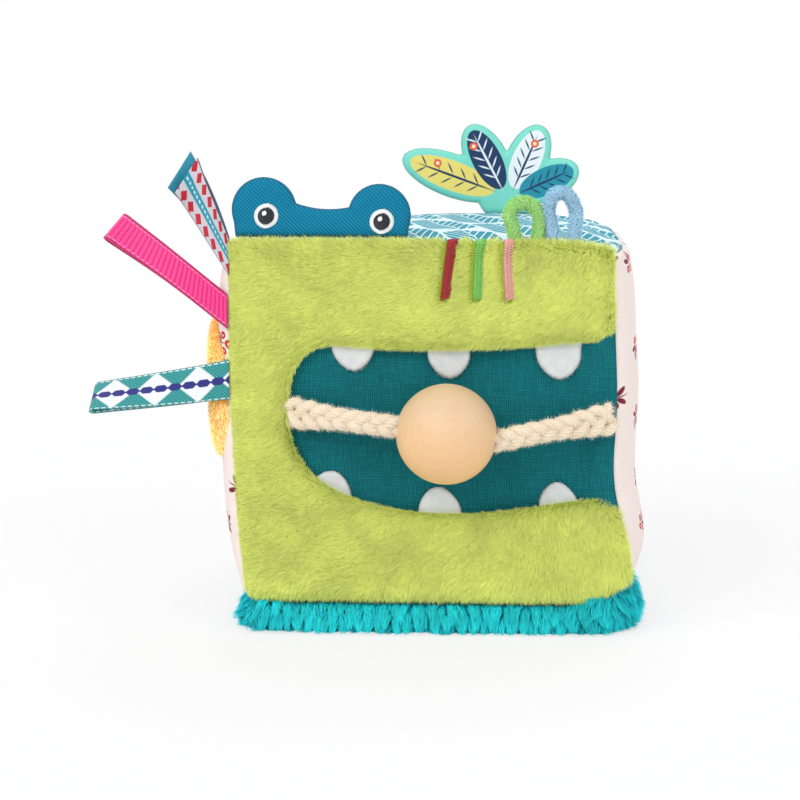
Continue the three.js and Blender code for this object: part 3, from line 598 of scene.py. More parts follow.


# Filling: a block of open-cell foam with a pocket from below for the rattle, and a foam plug.
# The rattle is a blow-moulded capsule in two halves with a ball in it. None of it shows.

# Open-cell foam: dull cream, pitted by cells of about 1 mm, each pit darker in its middle as painted shade
foam_material, tree, output = new_material("open_cell_foam")
place = add(tree, "TexCoord")
cells = add(tree, "TexVoronoi", {"Vector": (place, "Object"), "Scale": 900.0})
tone = dyed(tree, linear("#d9d2c0"), (cells, "Distance"), "#f5f1e6")
finish_skin(tree, output, tone, 0.95, (cells, "Distance"), 0.6, 0.6)

foam_mesh = bmesh.new()
bmesh.ops.create_cube(foam_mesh, size=2)
bmesh.ops.scale(foam_mesh, vec=(57.3, 55.4, 57.2), verts=foam_mesh.verts)
bmesh.ops.bevel(
    foam_mesh, geom=foam_mesh.edges[:], offset=8, segments=3, profile=0.5, affect="EDGES", material=-1
)
bmesh.ops.subdivide_edges(foam_mesh, edges=foam_mesh.edges[:], cuts=3, use_grid_fill=True)
for vert in foam_mesh.verts:
    vert.co = stuffed(vert.co.x, vert.co.y + 1.2, vert.co.z + 69)
foam = put_in_scene("foam_filling", foam_mesh, "cube", [foam_material])
pocket_mesh = bmesh.new()
bmesh.ops.create_cone(pocket_mesh, cap_ends=True, segments=48, radius1=0.017, radius2=0.017, depth=0.08)
bmesh.ops.translate(pocket_mesh, verts=pocket_mesh.verts, vec=(0, 0, 0.043))
pocket = put_in_scene("pocket_cutter", pocket_mesh, None, [foam_material])
cut = foam.modifiers.new("pocket", "BOOLEAN")
cut.object = pocket
cut.solver = "EXACT"
settle(foam)
bpy.data.objects.remove(pocket)
plug_mesh = bmesh.new()
bmesh.ops.create_cone(
    plug_mesh, cap_ends=True, segments=48, radius1=0.0167, radius2=0.0167, depth=0.0387
)
rims = [e for e in plug_mesh.edges if len(e.link_faces) == 2 and e.calc_face_angle() > 1]
bmesh.ops.bevel(
    plug_mesh, geom=rims, offset=0.001, segments=2, profile=0.5, affect="EDGES", material=-1
)
bmesh.ops.translate(plug_mesh, verts=plug_mesh.verts, vec=(0, 0, 0.0302))
plug = put_in_scene("foam_stopper", plug_mesh, "cube", [foam_material], smooth=False)
for piece, node in ((foam, "foam_block"), (plug, "foam_plug")):
    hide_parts(node)

# Moulded plastic: plain and satin, with a very fine grit
for name, colour, roughness, nodes in (
    ("moulded_white_plastic", "#f4f4f2", 0.35, ("rattle_capsule_lower", "rattle_capsule_upper")),
    ("moulded_grey_plastic", "#b8bcc2", 0.4, ("rattle_ball",)),
):
    plastic, tree, output = new_material(name)
    place = add(tree, "TexCoord")
    grit = add(tree, "TexNoise", {"Vector": (place, "Object"), "Scale": 1400.0, "Detail": 2.0})
    tone = dyed(tree, linear(colour), (grit, "Fac"), "#ffffff")
    finish_skin(tree, output, tone, roughness, (grit, "Fac"), 0.1, 0.1)
    for node in nodes:
        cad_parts[node].data.materials.clear()
        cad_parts[node].data.materials.append(plastic)


# Mouth lining: teal linen in plain weave, its threads 0.6 mm apart and uneven in thickness.
# It lies on the foam behind the plush, and comes forward to the right seam.

# A wave texture's bands are one millimetre apart at these scales.
bands, diagonal_bands = 0.31416, 0.444


def woven(tree, vector, warp, weft, slub):
    """The height of a plain weave with threads this far apart, in millimetres, and uneven by slub."""
    wander = add(tree, "TexNoise", {"Vector": vector, "Scale": 0.35, "Detail": 2.0})
    moved = add(tree, "VectorMath", {0: (wander, "Color"), "Scale": slub}, operation="SCALE")
    moved = add(tree, "VectorMath", {0: moved, 1: vector}, operation="ADD")
    across = add(tree, "TexWave", {"Vector": moved, "Scale": bands / warp}, bands_direction="X")
    up = add(tree, "TexWave", {"Vector": moved, "Scale": bands / weft}, bands_direction="Y")
    return add(tree, "Math", {0: (across, "Fac"), 1: (up, "Fac")}, operation="MULTIPLY")


def woven_material(name, low, high, warp, weft, slub, depth, roughness):
    """A plain-woven cloth, uneven in tone from thread to thread, whose threads are paler than the gaps
    between them, which hold painted shade.
    """
    made, tree, output = new_material(name)
    cloth = add(tree, "UVMap", uv_map="cloth")
    weave = woven(tree, cloth, warp, weft, slub)
    stretched = add(tree, "Mapping", {"Vector": cloth, "Scale": (0.12, 1.6, 1)})
    threads = add(tree, "TexNoise", {"Vector": stretched, "Scale": 1.0, "Detail": 2.0})
    stretched = add(tree, "Mapping", {"Vector": cloth, "Scale": (1.6, 0.12, 1)})
    others = add(tree, "TexNoise", {"Vector": stretched, "Scale": 1.0, "Detail": 2.0})
    uneven = add(tree, "Math", {0: (threads, "Fac"), 1: (others, "Fac")}, operation="ADD")
    level = add(
        tree, "MapRange",
        {"Value": uneven, "From Min": 0.6, "From Max": 1.4, "To Min": -0.25, "To Max": 0.25}
    )
    # The threads' own tone is uneven. The weave adds painted shade in the gaps between the threads
    level = add(tree, "Math", {0: level, 1: weave}, use_clamp=True)
    tone = dyed(tree, linear(low), level, high)
    finish_skin(tree, output, tone, roughness, weave, 0.8, depth, {"Specular IOR Level": 0.25})
    return made


def lay_flat(bm, flat_of):
    """Keeps a cloth's flat places, in millimetres, as its UV map."""
    uv = bm.loops.layers.uv.new("cloth")
    for face in bm.faces:
        for loop in face.loops:
            loop[uv].uv = flat_of(loop.vert.co)


def thicken(cloth, thickness, offset=-1, material_offset=0):
    """Gives a cloth its thickness, in metres."""
    walls = cloth.modifiers.new("cloth", "SOLIDIFY")
    walls.thickness = thickness
    walls.offset = offset
    walls.material_offset = material_offset
    settle(cloth)


# Linen: dull, and paler on its threads than between them, where painted shade lies in the gaps
linen = woven_material("teal_linen", "#00565e", "#0c9ea4", 0.62, 0.56, 1.2, 0.25, 0.85)

lining_mesh = bmesh.new()
bmesh.ops.create_grid(lining_mesh, x_segments=100, y_segments=92, size=1)
lay_flat(lining_mesh, lambda place: (place.x * 58, place.y * 55))
for vert in lining_mesh.verts:
    a, b = vert.co.x, vert.co.y
    forward = smooth_step(44, 61.5, a * 60.3 + 1.2)
    x = a * 60.1 + 1.8
    z = cover_middle + b * 55
    ripple = 1.1 * noise.noise(Vector((x * 0.045, z * 0.06, 3.1)))
    ripple += 0.35 * noise.noise(Vector((x * 0.13, z * 0.05, 9.7)))
    vert.co = in_front(x, z, 5.2 - 4.1 * forward - ripple * (1 - forward))
lining = put_in_scene("mouth_cloth", lining_mesh, "cube", [linen])
thicken(lining, 0.0009)
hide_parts("mouth_lining")


# Side, rear and top panels: quilting cotton, sewn at the edges of the cube and drawn in there.
# The white ones are printed with small red sprigs, and the top one with teal strokes.
seam_radius = 4.0
faces = {
    "front": lambda a, b, w, d, h: (a * w, -d, cover_middle + b * h),
    "right": lambda a, b, w, d, h: (w, a * d, cover_middle + b * h),
    "rear": lambda a, b, w, d, h: (-a * w, d, cover_middle + b * h),
    "left": lambda a, b, w, d, h: (-w, -a * d, cover_middle + b * h),
    "top": lambda a, b, w, d, h: (a * w, b * d, cover_middle + h),
}


def on_face(face, a, b, depth):
    """A place of the flat-sided box: from -1 to 1 across and up a face, this deep under its cloth."""
    radius = max(seam_radius - depth, 0.8)
    sizes = half_width - depth, half_depth - depth, half_height - depth
    place = Vector(faces[face](a, b, *sizes)) - Vector((0, 0, cover_middle))
    core = Vector([max(radius - s, min(s - radius, p)) for p, s in zip(place, sizes)])
    return core + (place - core).normalized() * radius + Vector((0, 0, cover_middle))


def blot(tree, place, x, y, across, up, turn=0.0):
    """A printed oval as a mask: 1 inside and 0 outside. Sizes are in the units of the place."""
    moved = add(
        tree, "Mapping",
        {"Vector": place, "Location": (x, y, 0), "Rotation": (0, 0, turn), "Scale": (across, up, 1)},
        vector_type="TEXTURE"
    )
    reach = add(tree, "VectorMath", {0: moved}, operation="LENGTH")
    edge = 0.1 / min(across, up)
    fade = {"From Min": 1 - edge, "From Max": 1 + edge, "To Min": 1.0, "To Max": 0.0}
    return add(tree, "MapRange", {"Value": (reach, "Value"), **fade})


def joined(tree, masks):
    """The largest of several masks."""
    whole = masks[0]
    for mask in masks[1:]:
        whole = add(tree, "Math", {0: whole, 1: mask}, operation="MAXIMUM")
    return whole


def cotton_skin(tree, output, colour, cloth):
    """Quilting cotton in this colour: a fine weave of 0.35 mm and small creases."""
    weave = woven(tree, cloth, 0.35, 0.35, 0.3)
    creases = add(tree, "TexNoise", {"Vector": cloth, "Scale": 0.12, "Detail": 3.0})
    height = add(tree, "Math", {0: creases, 1: 6.0, 2: weave}, operation="MULTIPLY_ADD")
    finish_skin(
        tree, output, colour, 0.88, height, 0.35, 0.2, {"Specular IOR Level": 0.2, "Sheen Weight": 0.1}
    )


# Printed cotton: sprigs of three berries and three leaves, 25 mm apart and turned every way
white_print, tree, output = new_material("sprig_printed_cotton")
cloth = add(tree, "UVMap", uv_map="cloth")
sprigs = add(
    tree, "TexVoronoi", {"Vector": cloth, "Scale": 1 / 25, "Randomness": 0.55}, voronoi_dimensions="2D"
)
offset = add(tree, "VectorMath", {0: cloth, 1: (sprigs, "Position")}, operation="SUBTRACT")
angle = add(tree, "Math", {0: (sprigs, "Color"), 1: 6.28}, operation="MULTIPLY")
turned = add(tree, "VectorRotate", {"Vector": offset, "Angle": angle}, rotation_type="Z_AXIS")
leaf_spots = (-1.7, -2.2, 0.9, 2.2, -0.6), (1.8, -2.3, 0.9, 2.2, 0.6), (0, -1.5, 0.25, 3.6)
berry_spots = (0, 3.2, 1.5, 1.5), (-2.6, 0.6, 1.4, 1.4), (2.7, 0.9, 1.4, 1.4)
dot_spots = (0, 3.4, 0.45, 0.45), (-2.5, 0.8, 0.4, 0.4), (2.6, 1.1, 0.4, 0.4)
tone = linear("#f6e7e0")
for spots, ink in ((leaf_spots, "#7c1f3a"), (berry_spots, "#c8142f"), (dot_spots, "#f4e8e1")):
    tone = dyed(tree, tone, joined(tree, [blot(tree, turned, *spot) for spot in spots]), ink)
cotton_skin(tree, output, tone, cloth)

# Printed cotton: rows of teal leaves of slanting strokes, 42 mm long and 17 mm apart
leaf_row, leaf_half, row_shift = 17.0, 21.0, 15.0
teal_print, tree, output = new_material("stroke_printed_cotton")
cloth = add(tree, "UVMap", uv_map="cloth")
turned = add(tree, "VectorRotate", {"Vector": cloth, "Angle": -0.3}, rotation_type="Z_AXIS")
place = add(tree, "SeparateXYZ", {"Vector": turned})
lane = add(tree, "Math", {0: (place, "X"), 1: 1 / leaf_row}, operation="MULTIPLY")
lane = add(tree, "Math", {0: lane}, operation="ROUND")
shifted = add(tree, "Math", {0: lane, 1: row_shift, 2: (place, "Y")}, operation="MULTIPLY_ADD")
column = add(tree, "Math", {0: lane, 1: -leaf_row, 2: (place, "X")}, operation="MULTIPLY_ADD")
side = add(tree, "Math", {0: column}, operation="ABSOLUTE")
leaf = add(tree, "Math", {0: shifted, 1: leaf_half}, operation="PINGPONG")
leaf = add(
    tree, "MapRange", {"Value": leaf, "From Max": 8.0, "To Max": 8.0}, interpolation_type="SMOOTHSTEP"
)
within = add(tree, "Math", {0: leaf, 1: side}, operation="SUBTRACT")
within = add(tree, "MapRange", {"Value": within, "From Min": -0.15, "From Max": 0.15})
uneven = add(tree, "TexNoise", {"Vector": cloth, "Scale": 0.6, "Detail": 2.0})
slanted = add(tree, "Math", {0: side, 1: -2.4, 2: shifted}, operation="MULTIPLY_ADD")
slanted = add(tree, "Math", {0: (uneven, "Fac"), 1: 0.9, 2: slanted}, operation="MULTIPLY_ADD")
stroke = add(tree, "Math", {0: slanted, 1: 3.2}, operation="PINGPONG")
stroke = add(tree, "MapRange", {"Value": stroke, "From Min": 0.5, "From Max": 0.85})
stroke = add(tree, "Math", {0: stroke, 1: within}, operation="MULTIPLY")
rib = add(tree, "MapRange", {"Value": side, "From Min": 0.2, "From Max": 0.4})
stroke = add(tree, "Math", {0: stroke, 1: rib}, operation="MULTIPLY")
tone = dyed(tree, linear("#dff3f6"), stroke, "#0093a6")
cotton_skin(tree, output, tone, cloth)


# Half a panel's cloth, in millimetres
half_cloth = 62.0


def panel(name, face, seed, material):
    """A cloth over one face of the cover: seams drawn in, puckers beside them, and broad waves."""
    bm = bmesh.new()
    bmesh.ops.create_grid(bm, x_segments=90, y_segments=90, size=1)
    lay_flat(bm, lambda place: place.xy * half_cloth)
    for vert in bm.verts:
        a, b = vert.co.xy
        edge = half_cloth * (1 - max(abs(a), abs(b)))
        along = half_cloth * (b if abs(a) > abs(b) else a)
        pucker = noise.noise(Vector((along * 0.19, edge * 0.06, seed))) * math.exp(-edge / 8)
        wave = noise.noise(Vector((a * 1.7, b * 1.7, seed + 5))) * (1 - math.exp(-edge / 14))
        crease = noise.noise(Vector((a * 5.1, b * 3.3, seed + 9))) * (1 - math.exp(-edge / 10))
        seam = 0.9 * math.exp(-((edge / 1.4) ** 2))
        depth = seam - (0.9 * pucker + 1.2 * wave + 0.45 * crease)
        vert.co = stuffed(*on_face(face, a, b, depth))
    made = put_in_scene(name, bm, "cube", [material])
    thicken(made, 0.0008)
    return made


for name, face, seed, material, slot in (
    ("left_cotton", "left", 2.3, white_print, "printed_cotton"),
    ("right_cotton", "right", 7.9, white_print, "printed_cotton"),
    ("rear_cotton", "rear", 12.1, white_print, "printed_cotton"),
    ("top_cotton", "top", 17.7, teal_print, "teal_printed_cotton"),
):
    cover = panel(name, face, seed, material)
    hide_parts(name.replace("_cotton", "_panel"))


# Plush face: one C-shaped cut of minky, turned under round the mouth and sewn into the seams. Its
# pile is 2.3 mm long, longer at the lower seam, and combed to the left, and down at the right.
def bezier(points, steps=12):
    """Places on a cubic Bezier curve, without its first."""
    a, b, c, d = (Vector(p).to_3d() for p in points)
    return [p.xy[:] for p in geometry.interpolate_bezier(a, b, c, d, steps + 1)[1:]]


def inside(places, outline):
    """How far each place is inside a closed outline, and the outline's nearest place to it."""
    places, start = np.array(places, float), np.array(outline, float)
    run = np.roll(start, -1, axis=0) - start
    offset = places[:, None] - start
    share = np.clip((offset * run).sum(2) / (run**2).sum(1), 0, 1)
    nearest = start + share[..., None] * run
    gaps = np.linalg.norm(places[:, None] - nearest, axis=2)
    best = gaps.argmin(1), np.arange(len(places))
    crosses = (offset[..., 1] < 0) != (offset[..., 1] - run[:, 1] < 0)
    slope = run[:, 0] / np.where(run[:, 1] == 0, 1e-9, run[:, 1])
    right = offset[..., 0] < offset[..., 1] * slope
    odd = (crosses & right).sum(1) % 2
    return gaps[best[1], best[0]] * np.where(odd == 1, 1, -1), nearest[best[1], best[0]]


def cut_cloth(outline, cell, low=None, high=None):
    """A cloth of small cells in the XY plane, cut to an outline. With corners, it is the cloth
    between them, with the outline cut out of it."""
    hole = low is not None
    if not hole:
        low, high = np.min(outline, 0) - cell, np.max(outline, 0) + cell
    size = np.subtract(high, low)
    columns, rows = (max(1, round(s / cell)) for s in size)
    bm = bmesh.new()
    bmesh.ops.create_grid(bm, x_segments=columns, y_segments=rows, size=0.5)
    for vert in bm.verts:
        vert.co.x = low[0] + size[0] * (vert.co.x + 0.5)
        vert.co.y = low[1] + size[1] * (vert.co.y + 0.5)
    depth = inside([v.co[:2] for v in bm.verts], outline)[0] * (-1 if hole else 1)
    away = [v for v, d in zip(bm.verts, depth) if d < -0.5 * cell]
    bmesh.ops.delete(bm, geom=away, context="VERTS")
    bmesh.ops.delete(bm, geom=[v for v in bm.verts if not v.link_faces], context="VERTS")
    edge = [v for v in bm.verts if v.is_boundary]
    depth, nearest = inside([v.co[:2] for v in edge], outline)
    for vert, d, place in zip(edge, depth, nearest):
        if abs(d) < 1.6 * cell and not (
            hole and (abs(vert.co.x - low[0]) < 1e-4 or abs(vert.co.x - high[0]) < 1e-4)
        ):
            vert.co.x, vert.co.y = place
    within = [v for v in bm.verts if not v.is_boundary]
    for _ in range(5):
        bmesh.ops.smooth_vert(bm, verts=within, factor=0.5, use_axis_x=True, use_axis_y=True)
    return bm


mouth_left, mouth_right, mouth_top, mouth_bottom, mouth_middle = -43.4, 67.5, 94.1, 41.0, 73.55
upper_bends = [
    [(mouth_right - mouth_left - 24, 0), (45, -2), (15, 1.2)],
    [(4, 1.8), (0, -10), (0, mouth_middle - mouth_top)],
]
lower_bends = [
    [(0, mouth_middle - mouth_bottom - 16), (8, 10), (15, 6.6)],
    [(29, 0), (44, -1), (58, 0)],
    [(74, 1.4), (90, 4.8), (mouth_right - mouth_left, 5.4)],
]
mouth = [(mouth_right, mouth_top + 5.4)]
for jaw, bends in ((mouth_top, upper_bends), (mouth_bottom, lower_bends)):
    for bend in bends:
        mouth += bezier([mouth[-1]] + [(mouth_left + x, jaw + z) for x, z in bend])

# Minky pile: darker at its roots and bright at its tips, painted shade deep in the pile and painted light on
# the tips, and broad patches of painted shading where its brushed nap turns
lime_pile = pile_material("lime_plush_pile", "#cdde4c", "#f7fc94", 0.92, 1.1)
lime_cloth = woven_material("lime_plush_backing", "#a6ba3a", "#b9cc50", 0.5, 0.5, 0.5, 0.1, 0.95)

bars = (("red_satin_bar", 73.4, -2.4), ("green_satin_bar", 82.2, -0.8), ("pink_satin_bar", 90.9, 1.1))
bar_length = 19.5


def bar_clearance(x, z):
    """How far a place on the flat face is from the nearest satin bar, in millimetres."""
    gaps = []
    for _, place, slant in bars:
        share = max(0, min(1 - 1.4 / bar_length, (cover_top + 0.8 - z) / bar_length))
        nearest = Vector((-half_width + place + slant * share, cover_top + 0.8 - bar_length * share))
        gaps.append((Vector((x, z)) - nearest).length)
    return min(gaps)


def grown(outline, by):
    """An outline moved outwards, in millimetres."""
    moved = []
    for before, here, after in zip(outline[-1:] + outline, outline, outline[1:] + outline[:1]):
        along = (Vector(after) - Vector(before)).normalized()
        moved.append((here[0] - along.y * by, here[1] + along.x * by))
    return moved


mouth_edge = grown(mouth, -2.1)


def plush_depth(x, z, gap):
    """How deep the backing lies under the flat front: full at the top seam and on the lower jaw."""
    left, right, top, low = half_width + x, half_width - x, cover_top - z, z - cover_bottom
    edge = min(left, right, top, low)
    wave = 1.1 * noise.noise(Vector((x * 0.04, z * 0.04, 4.4))) * (1 - math.exp(-edge / 10))
    puff = 2.4 * math.exp(-((top / 4.5) ** 2))
    puff += math.exp(-((right / 4) ** 2)) * (0.8 + 0.8 * smooth_step(60, 35, z))
    seam = 0.9 * (math.exp(-((left / 1.6) ** 2)) + math.exp(-((low / 1.6) ** 2)))
    return 1.5 + 1.4 * (1 - smooth_step(0, 4, gap)) - puff * smooth_step(0, 6, gap) + seam - wave


face_mesh = cut_cloth(mouth_edge, 1.15, (-half_width, cover_bottom), (half_width, cover_top))
lay_flat(face_mesh, lambda place: place.xy)
flat = face_mesh.verts.layers.float_vector.new("flat")
from_mouth = -inside([v.co[:2] for v in face_mesh.verts], mouth_edge)[0]
for vert, gap in zip(face_mesh.verts, from_mouth):
    x, z = vert.co.xy
    a, b = x / half_width, (z - cover_middle) / half_height
    bed = 0.5 * math.exp(-((bar_clearance(x, z) / 2.2) ** 2))
    vert[flat] = (x, z, gap)
    vert.co = stuffed(*on_face("front", a, b, plush_depth(x, z, gap) - bed))
plush = put_in_scene("lime_plush", face_mesh, "cube", [lime_cloth])


def jaw_nap(vertex):
    """The nap: along the cloth, out over its seams and into the mouth, and uneven as if brushed."""
    x, z, gap = plush.data.attributes["flat"].data[vertex.index].vector
    turn = 188 + 74 * smooth_step(-35, 50, x) * (1 - smooth_step(38, 62, z))
    turn += 38 * smooth_step(-5, 60, x) * smooth_step(90, 112, z)
    uneven = 34 * noise.noise(Vector((x * 0.035, z * 0.035, 8.8)))
    turn += uneven + 22 * noise.noise(Vector((x * 0.1, z * 0.1, 1.8)))
    turn = math.radians(turn)
    left, right, top, low = half_width + x, half_width - x, cover_top - z, z - cover_bottom
    out = Vector((0.9 * math.exp(-right / 2), 0, math.exp(-top / 3) - math.exp(-low / 3)))
    lip = math.exp(-gap / 1.8)
    rise = 0.42 - 0.05 * lip
    edge = min(left, right, top, low)
    away = Vector((0, -1, 0)).lerp(vertex.normal, max(math.exp(-edge / 4), 0.9 * lip))
    out += Vector((max(0, -22 - x), 0, mouth_middle - z)).normalized() * 0.6 * lip
    lying = Vector((math.cos(turn), 0, math.sin(turn))) * (1 - min(out.length, 1) * 0.8)
    return away * rise + lying + out * 1.3


def jaw_pile(vertex):
    """The pile's length: none under the satin bars, short at the mouth and long at the foot."""
    x, z, gap = plush.data.attributes["flat"].data[vertex.index].vector
    fringe = math.exp(-(z - cover_bottom) / 3)
    return smooth_step(1.3, 2.6, bar_clearance(x, z)) * (1 + 0.8 * fringe - 0.3 * math.exp(-gap / 1.5))


comb(plush, jaw_nap, jaw_pile)
lime_fibre = fibre("lime_fibre", 2.3, 0.14, 0.3, lime_pile)
for i in range(5):
    layer = grow_pile(f"lime_pile_{i + 1}", plush, lime_fibre, 6.4, 0.8, 60, 0.13, 31 + 10 * i, "cube")
thicken(plush, 0.0011)
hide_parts("plush_face")


# Base plush: long-pile plush under the cube, its fibres 7 mm long. They stand out all round it,
# hang to the table, and rise at the right front corner.

# Long pile: deep turquoise at the roots, a painted shade deep between its tufts, and bright at their tips,
# painted light
turquoise_pile = pile_material("turquoise_plush_pile", "#00b6c6", "#35f0f6", 0.8, 1.16)
turquoise_cloth = woven_material(
    "turquoise_plush_backing", "#057585", "#0b99a2", 0.5, 0.5, 0.5, 0.1, 0.95
)


def arc(x, y, radius, start, end, steps):
    """Places round an arc, its angles in degrees."""
    turns = (math.radians(start + (end - start) * i / steps) for i in range(steps + 1))
    return [(x + radius * math.cos(t), y + radius * math.sin(t)) for t in turns]


def rounded(gap, reach):
    """The height of a rounded edge this far in from it: 0 at the edge, and 1 from reach on."""
    return math.sqrt(1 - (1 - min(gap / reach, 1)) ** 2)


def cushion(outline, cell, puff):
    """A closed shape of two cloths, cut to an outline and sewn together round it. puff is its half
    thickness, as a function of how far in a place is. The flat places are kept as its UV map."""
    bm = cut_cloth(outline, cell)
    lay_flat(bm, lambda place: place.xy)
    edge = bm.verts.layers.float.new("edge")
    back = bmesh.ops.duplicate(bm, geom=bm.faces[:] + bm.edges[:] + bm.verts[:])["geom"]
    hind = {g for g in back if isinstance(g, bmesh.types.BMVert)}
    bmesh.ops.reverse_faces(bm, faces=[g for g in back if isinstance(g, bmesh.types.BMFace)])
    depth = inside([v.co[:2] for v in bm.verts], outline)[0]
    for vert, d in zip(bm.verts, depth):
        vert[edge] = d
        if not vert.is_boundary:
            vert.co.z = puff(max(d, 0.0)) * (-1 if vert in hind else 1)
    bmesh.ops.remove_doubles(bm, verts=[v for v in bm.verts if v.is_boundary], dist=1e-4)
    outward(bm)
    return bm


base_half, base_lift = 4.5, 4.8
base_corners = ((57.5, 56, 6, 0), (-58.2, 56, 6, 90), (-58.2, -56, 6, 180), (51.5, -50, 12, 270))
base_outline = [
    place for x, y, radius, turn in base_corners for place in arc(x, y, radius, turn, turn + 90, 8)
]
base_mesh = cushion(base_outline, 3.2, lambda d: base_half * rounded(d, 5))
for vert in base_mesh.verts:
    x, y, z = vert.co
    curl = smooth_step(40, 66, x) + 0.22 * smooth_step(-44, -63, x)
    curl *= smooth_step(30, -62, y)
    vert.co = Vector((x, y, (z + base_lift) * (1 + curl))) / 1000
base = put_in_scene("turquoise_plush", base_mesh, "cube", [turquoise_cloth])


def base_nap(vertex):
    """The nap: out from the cube and down to the floor."""
    x, y, z = vertex.co * 1000
    out = Vector((vertex.normal.x, vertex.normal.y, 0))
    if out.length > 1e-4:
        out.normalize()
    height = smooth_step(1.5, 9, z)
    return out * (1.0 - 0.3 * height) + Vector((0, 0, -0.8 - 0.1 * height)) + vertex.normal * 0.35


def base_pile(vertex):
    """The pile's length: full round the rim, and short under the cube."""
    x, y, z = vertex.co * 1000
    rim = smooth_step(50, 56, max(abs(x) - 4, abs(y) - 3))
    long = 0.95 + 0.2 * noise.noise(Vector((x * 0.09, y * 0.09, 6.1)))
    return long * rim + 0.3 * (1 - rim) * (z < 6)


comb(base, base_nap, base_pile)
turquoise_fibre = fibre("turquoise_fibre", 7.0, 0.34, 0.2, turquoise_pile)
for i in range(3):
    layer = grow_pile(
        f"turquoise_pile_{i + 1}", base, turquoise_fibre, 4.6, 0.1, 200, 0.2, 81 + 10 * i, "cube"
    )
    places = np.empty(len(layer.data.vertices) * 3, np.float32)
    layer.data.vertices.foreach_get("co", places)
    places[2::3] = np.maximum(places[2::3], 0.0003)
    layer.data.vertices.foreach_set("co", places)
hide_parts("base_plush")


# Teeth: white wool felt, 1.2 mm thick, three in each jaw, cut to a round tip and sewn to the
# lining with their roots under the plush.

# Wool felt: matt and softly clouded, with a fine fuzz on its faces and edges
felt, tree, output = new_material("white_felt")
place = add(tree, "TexCoord")
fine = add(tree, "TexNoise", {"Vector": (place, "Object"), "Scale": 1500.0, "Detail": 4.0})
soft = add(tree, "TexNoise", {"Vector": (place, "Object"), "Scale": 350.0, "Detail": 2.0})
tone = dyed(tree, linear("#cfd2d2"), (soft, "Fac"), "#e6e8e7")
finish_skin(
    tree, output, tone, 0.95, (fine, "Fac"), 0.6, 0.3, {"Specular IOR Level": 0.15, "Sheen Weight": 0.3}
)

felt_fluff = pile_material("felt_fluff", "#d6d9d9", "#eff1f0", 0.92, 1.04)
felt_fibre = fibre("felt_fibre", 0.9, 0.07, 0.2, felt_fluff)
tooth_width, felt_half, tooth_depth = 12.8, 0.62, 4.15
half = tooth_width / 2
for jaw, side, edge, teeth in (
    ("upper", 1, mouth_top, ((40.7, 7.0, 0), (71.3, 9.3, 0), (105.4, 9.3, 0))),
    ("lower", -1, mouth_bottom, ((33.0, 12.7, -14), (65.6, 7.8, 0), (103.6, 9.7, 0))),
):
    for i, (across, length, tilt) in enumerate(teeth):
        tip = edge - side * length
        outline = [(-half, length + 5)]
        outline += [(x, half * 1.1 + y * 1.1) for x, y in arc(0, 0, half, 180, 360, 16)]
        outline += [(half, length + 5)]
        outline = [(x * min(0.82 + 0.032 * y, 1.14), y) for x, y in outline]
        tooth_mesh = cushion(outline, 0.7, lambda d: felt_half * rounded(d, 0.8))
        tilted = Matrix.Rotation(math.radians(tilt * side), 3, "Z")
        bmesh.ops.rotate(tooth_mesh, verts=tooth_mesh.verts, matrix=tilted)
        for vert in tooth_mesh.verts:
            x, y, z = vert.co
            vert.co = in_front(-half_width + across + x, tip + side * y, tooth_depth - z)
        outward(tooth_mesh)
        tooth = put_in_scene(f"{jaw}_felt_tooth_{i + 1}", tooth_mesh, "cube", [felt])
        comb(tooth, lambda v: v.normal + Vector((0.3, 0, -0.5)), lambda v: 1.0)
        fuzz = grow_pile(tooth.name + "_fluff", tooth, felt_fibre, 3.0, 0.5, 0, 0.9, 5, "cube")
        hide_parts(f"{jaw}_tooth_{i + 1}")


# Satin bars: dense satin stitch in three colours, sewn through the plush under the top seam. The
# threads lie side by side, 0.34 mm apart, and are raised in the middle.
stitch_step = 0.34


def thread_material(name, low, high):
    """Glossy embroidery thread, a little uneven in tone."""
    made, tree, output = new_material(name)
    place = add(tree, "TexCoord")
    uneven = add(tree, "TexNoise", {"Vector": (place, "Object"), "Scale": 1200.0, "Detail": 2.0})
    tone = dyed(tree, linear(low), (uneven, "Fac"), high)
    finish_skin(
        tree, output, tone, 0.45, (uneven, "Fac"), 0.3, 0.1,
        {"Specular IOR Level": 0.5, "Anisotropic": 0.5}
    )
    return made


thread_section = strand_section("thread_section", 0.23, 2, 6)
bar_threads = (
    ("#860c1c", "#b8222e", "red_thread"),
    ("#4da53c", "#9ad870", "green_thread"),
    ("#d79387", "#f0b7aa", "pink_thread"),
)
for (name, place, slant), (low, high, slot) in zip(bars, bar_threads):
    stitches = []
    for i in range(int(bar_length / stitch_step)):
        run = (i + 0.5) * stitch_step
        middle = -half_width + place + slant * run / bar_length
        line = []
        for step in range(-3, 4):
            share = step / 3
            x = middle + 1.7 * share
            z = cover_top + 0.8 - run + 0.55 * share * (-1 if i % 2 else 1)
            depth = plush_depth(x, z, 20) - 0.5 - 0.7 * (1 - share**2)
            across, up = x / half_width, (z - cover_middle) / half_height
            line.append((stuffed(*on_face("front", across, up, depth)), 1.0))
        stitches.append(line)
    bar_mesh = laid_strand(stitches, thread_section, 0.02)
    bar_name = name.replace("_satin_bar", "_satin_stitches")
    bar = put_in_scene(bar_name, bar_mesh, "cube", [thread_material(slot, low, high)])
    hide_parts(name)


# Eye tab: a stuffed tab of teal twill with two humps, sewn into the front top seam. The twill's
# ribs are 0.95 mm apart. Its eyes are satin stitch: a white disc, a dark one and a small glint.
root_depth, root_lift, seam_low, seam_high = 2.2, 0.00047, 0.1298, 0.1334


def top_root(place, front):
    """The middle of a root in a top seam, this far along it, in metres."""
    y = (-1 if front else 1) * (half_depth - root_depth)
    return stuffed(place - half_width, y, cover_top) + Vector((0, 0, root_lift))


